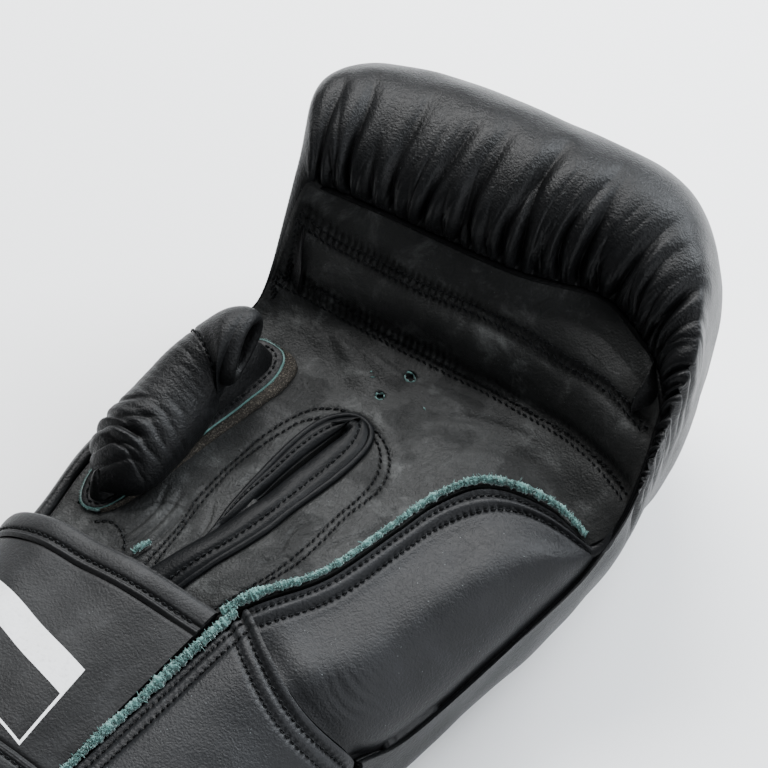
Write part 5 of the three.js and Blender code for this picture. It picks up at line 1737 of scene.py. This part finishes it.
class GloveColours(bpy.types.PropertyGroup):
    # The pad and roll tints are lit and shaded copies of one black leather: painted light on the pads,
    # painted shade on the roll and thumb
    leather: tint_setting("Leather", "Black leather of the pads", 0.0115, 0.012, 0.013)
    roll: tint_setting("Roll", "Black leather of the finger roll and the thumb", 0.0042, 0.0044, 0.0047)
    palm: tint_setting("Palm", "Leather of the palm", 0.0155, 0.016, 0.0157)
    strap: tint_setting("Strap", "Leather of the strap", 0.014, 0.0143, 0.0148)
    binding: tint_setting("Binding", "Satin leather of the slit", 0.0042, 0.0046, 0.0051)
    suede: tint_setting("Suede", "Raw suede of the cut edges", 0.07, 0.165, 0.152)
    felt: tint_setting("Felt", "Felt beside the thumb", 0.026, 0.023, 0.019)
    thread: tint_setting("Thread", "Sewing thread", 0.0035, 0.004, 0.0045)
    label: tint_setting("Label", "Blank printed label", 0.82, 0.83, 0.84)


# Stage: the camera's angles in degrees and its distance in metres, the picture's scale in pixels

CAMERA_AZIMUTH = 33.0
CAMERA_ELEVATION = 55.0
CAMERA_DISTANCE = 0.7
CAMERA_TARGET = (0, 0, 0.07)
FOCAL_PIXELS = 2275.0
PICTURE_PIXELS = 768.0
SENSOR_WIDTH = 36.0
FLOOR_REACH = 4.0
LIGHT_TARGET = (0.0, -0.02, 0.05)

# Lights: name, place, size, power and colour
LIGHTS = (
    ("softbox_back", (0.35, 0.85, 0.7), 0.75, 34.0, (0.9, 0.95, 1.0)),
    ("softbox_top", (-0.45, 0.5, 0.9), 0.7, 27.0, (1.0, 1.0, 1.0)),
    ("softbox_right", (0.95, -0.2, 0.5), 0.5, 6.0, (0.93, 0.96, 1.0)),
)

# The sky is bright behind the glove and above it: the range of its direction and of its strength
BRIGHT_SKY = (0.0, 0.6, 0.8)
SKY_RANGE = {"From Min": 0.5, "From Max": 0.92, "To Min": 0.16, "To Max": 0.75}


# Operators

class GLOVE_OT_back(bpy.types.Operator):
    """Build the padded back with its gathered finger roll"""

    bl_idname = "glove.back"
    bl_label = "Back and finger roll"

    def execute(self, context):
        build_back_pad(context.scene.glove_sizes)
        return {"FINISHED"}


class GLOVE_OT_palm(bpy.types.Operator):
    """Build the palm with its grip roll, stitching and punched holes"""

    bl_idname = "glove.palm"
    bl_label = "Palm"

    def execute(self, context):
        build_palm(context.scene.glove_sizes)
        palm_stitches(context.scene.glove_sizes)
        punched_marks()
        return {"FINISHED"}


class GLOVE_OT_slit(bpy.types.Operator):
    """Build the bound lips of the wrist slit"""

    bl_idname = "glove.slit"
    bl_label = "Wrist slit"

    def execute(self, context):
        build_lips(context.scene.glove_sizes)
        return {"FINISHED"}


class GLOVE_OT_pads(bpy.types.Operator):
    """Build the side pad and the padded cuff"""

    bl_idname = "glove.pads"
    bl_label = "Side pad and cuff"

    def execute(self, context):
        build_side_pad(context.scene.glove_sizes)
        build_cuff(context.scene.glove_sizes)
        return {"FINISHED"}


class GLOVE_OT_strap(bpy.types.Operator):
    """Build the wrist strap with its bindings, blank label and tab"""

    bl_idname = "glove.strap"
    bl_label = "Wrist strap"

    def execute(self, context):
        build_strap(context.scene.glove_sizes)
        build_tab()
        return {"FINISHED"}


class GLOVE_OT_edges(bpy.types.Operator):
    """Build the raw suede edges of the seams"""

    bl_idname = "glove.edges"
    bl_label = "Raw edges"

    def execute(self, context):
        build_raw_edges()
        return {"FINISHED"}


class GLOVE_OT_thumb(bpy.types.Operator):
    """Build the thumb sleeve, its rim, flange and felt"""

    bl_idname = "glove.thumb"
    bl_label = "Thumb"

    def execute(self, context):
        build_thumb(context.scene.glove_sizes)
        build_flange(context.scene.glove_sizes)
        return {"FINISHED"}


class GLOVE_OT_stage(bpy.types.Operator):
    """Set up the floor, the soft light and the camera"""

    bl_idname = "glove.stage"
    bl_label = "Stage"

    def execute(self, context):
        scene = context.scene
        mesh = bpy.data.meshes.new("floor")
        corners = [(x * FLOOR_REACH, y * FLOOR_REACH, 0) for x, y in ((-1, -1), (1, -1), (1, 1), (-1, 1))]
        mesh.from_pydata(corners, [], [(0, 1, 2, 3)])
        mesh.materials.append(floor_finish("pale_floor", (0.93, 0.93, 0.93)))
        floor = bpy.data.objects.new("floor", mesh)
        scene.collection.objects.link(floor)
        world = bpy.data.worlds.new("studio")
        world.use_nodes = True
        tree = world.node_tree
        where = tree.nodes.new("ShaderNodeTexCoord")
        facing = tree.nodes.new("ShaderNodeVectorMath")
        facing.operation = "DOT_PRODUCT"
        facing.inputs[1].default_value = BRIGHT_SKY
        sky = tree.nodes.new("ShaderNodeMapRange")
        for name, value in SKY_RANGE.items():
            sky.inputs[name].default_value = value
        tree.links.new(where.outputs["Generated"], facing.inputs[0])
        tree.links.new(facing.outputs["Value"], sky.inputs["Value"])
        tree.links.new(sky.outputs["Result"], tree.nodes["Background"].inputs["Strength"])
        tree.nodes["Background"].inputs["Color"].default_value = (0.92, 0.95, 1.0, 1.0)
        scene.world = world
        for name, place, size, power, tint in LIGHTS:
            light = bpy.data.lights.new(name, "AREA")
            light.shape = "SQUARE"
            light.size = size
            light.energy = power
            light.color = tint
            lamp = bpy.data.objects.new(name, light)
            lamp.location = place
            aim = Vector(LIGHT_TARGET) - Vector(place)
            lamp.rotation_euler = aim.to_track_quat("-Z", "Y").to_euler()
            scene.collection.objects.link(lamp)
        camera = bpy.data.cameras.new("camera")
        camera.sensor_width = SENSOR_WIDTH
        camera.lens = FOCAL_PIXELS / PICTURE_PIXELS * SENSOR_WIDTH
        view = bpy.data.objects.new("camera", camera)
        azimuth, elevation = math.radians(CAMERA_AZIMUTH), math.radians(CAMERA_ELEVATION)
        back = Vector((math.sin(azimuth) * math.cos(elevation), -math.cos(azimuth) * math.cos(elevation),
                       math.sin(elevation)))
        view.location = Vector(CAMERA_TARGET) + back * CAMERA_DISTANCE
        view.rotation_euler = (-back).to_track_quat("-Z", "Y").to_euler()
        scene.collection.objects.link(view)
        scene.camera = view
        return {"FINISHED"}


OPERATORS = (GLOVE_OT_back, GLOVE_OT_palm, GLOVE_OT_slit, GLOVE_OT_pads, GLOVE_OT_strap, GLOVE_OT_edges,
             GLOVE_OT_thumb, GLOVE_OT_stage)


class GLOVE_PT_panel(bpy.types.Panel):
    """Shows the glove's sizes, colours and building steps in the sidebar"""

    bl_idname = "GLOVE_PT_panel"
    bl_label = "Bag glove"
    bl_space_type = "VIEW_3D"
    bl_region_type = "UI"
    bl_category = "Glove"

    def draw(self, context):
        for group in (context.scene.glove_sizes, context.scene.glove_colours):
            for name in group.bl_rna.properties.keys():
                if name not in {"rna_type", "name"}:
                    self.layout.prop(group, name)
        for operator in OPERATORS:
            self.layout.operator(operator.bl_idname)


CLASSES = (GloveSizes, GloveColours, *OPERATORS, GLOVE_PT_panel)


def register():
    for part in CLASSES:
        bpy.utils.register_class(part)
    bpy.types.Scene.glove_sizes = bpy.props.PointerProperty(type=GloveSizes)
    bpy.types.Scene.glove_colours = bpy.props.PointerProperty(type=GloveColours)


def unregister():
    del bpy.types.Scene.glove_colours
    del bpy.types.Scene.glove_sizes
    for part in reversed(CLASSES):
        bpy.utils.unregister_class(part)


def main():
    register()
    bpy.ops.glove.back()
    bpy.ops.glove.palm()
    bpy.ops.glove.slit()
    bpy.ops.glove.pads()
    bpy.ops.glove.strap()
    bpy.ops.glove.edges()
    bpy.ops.glove.thumb()
    bpy.ops.glove.stage()


if __name__ == "__main__":
    main()
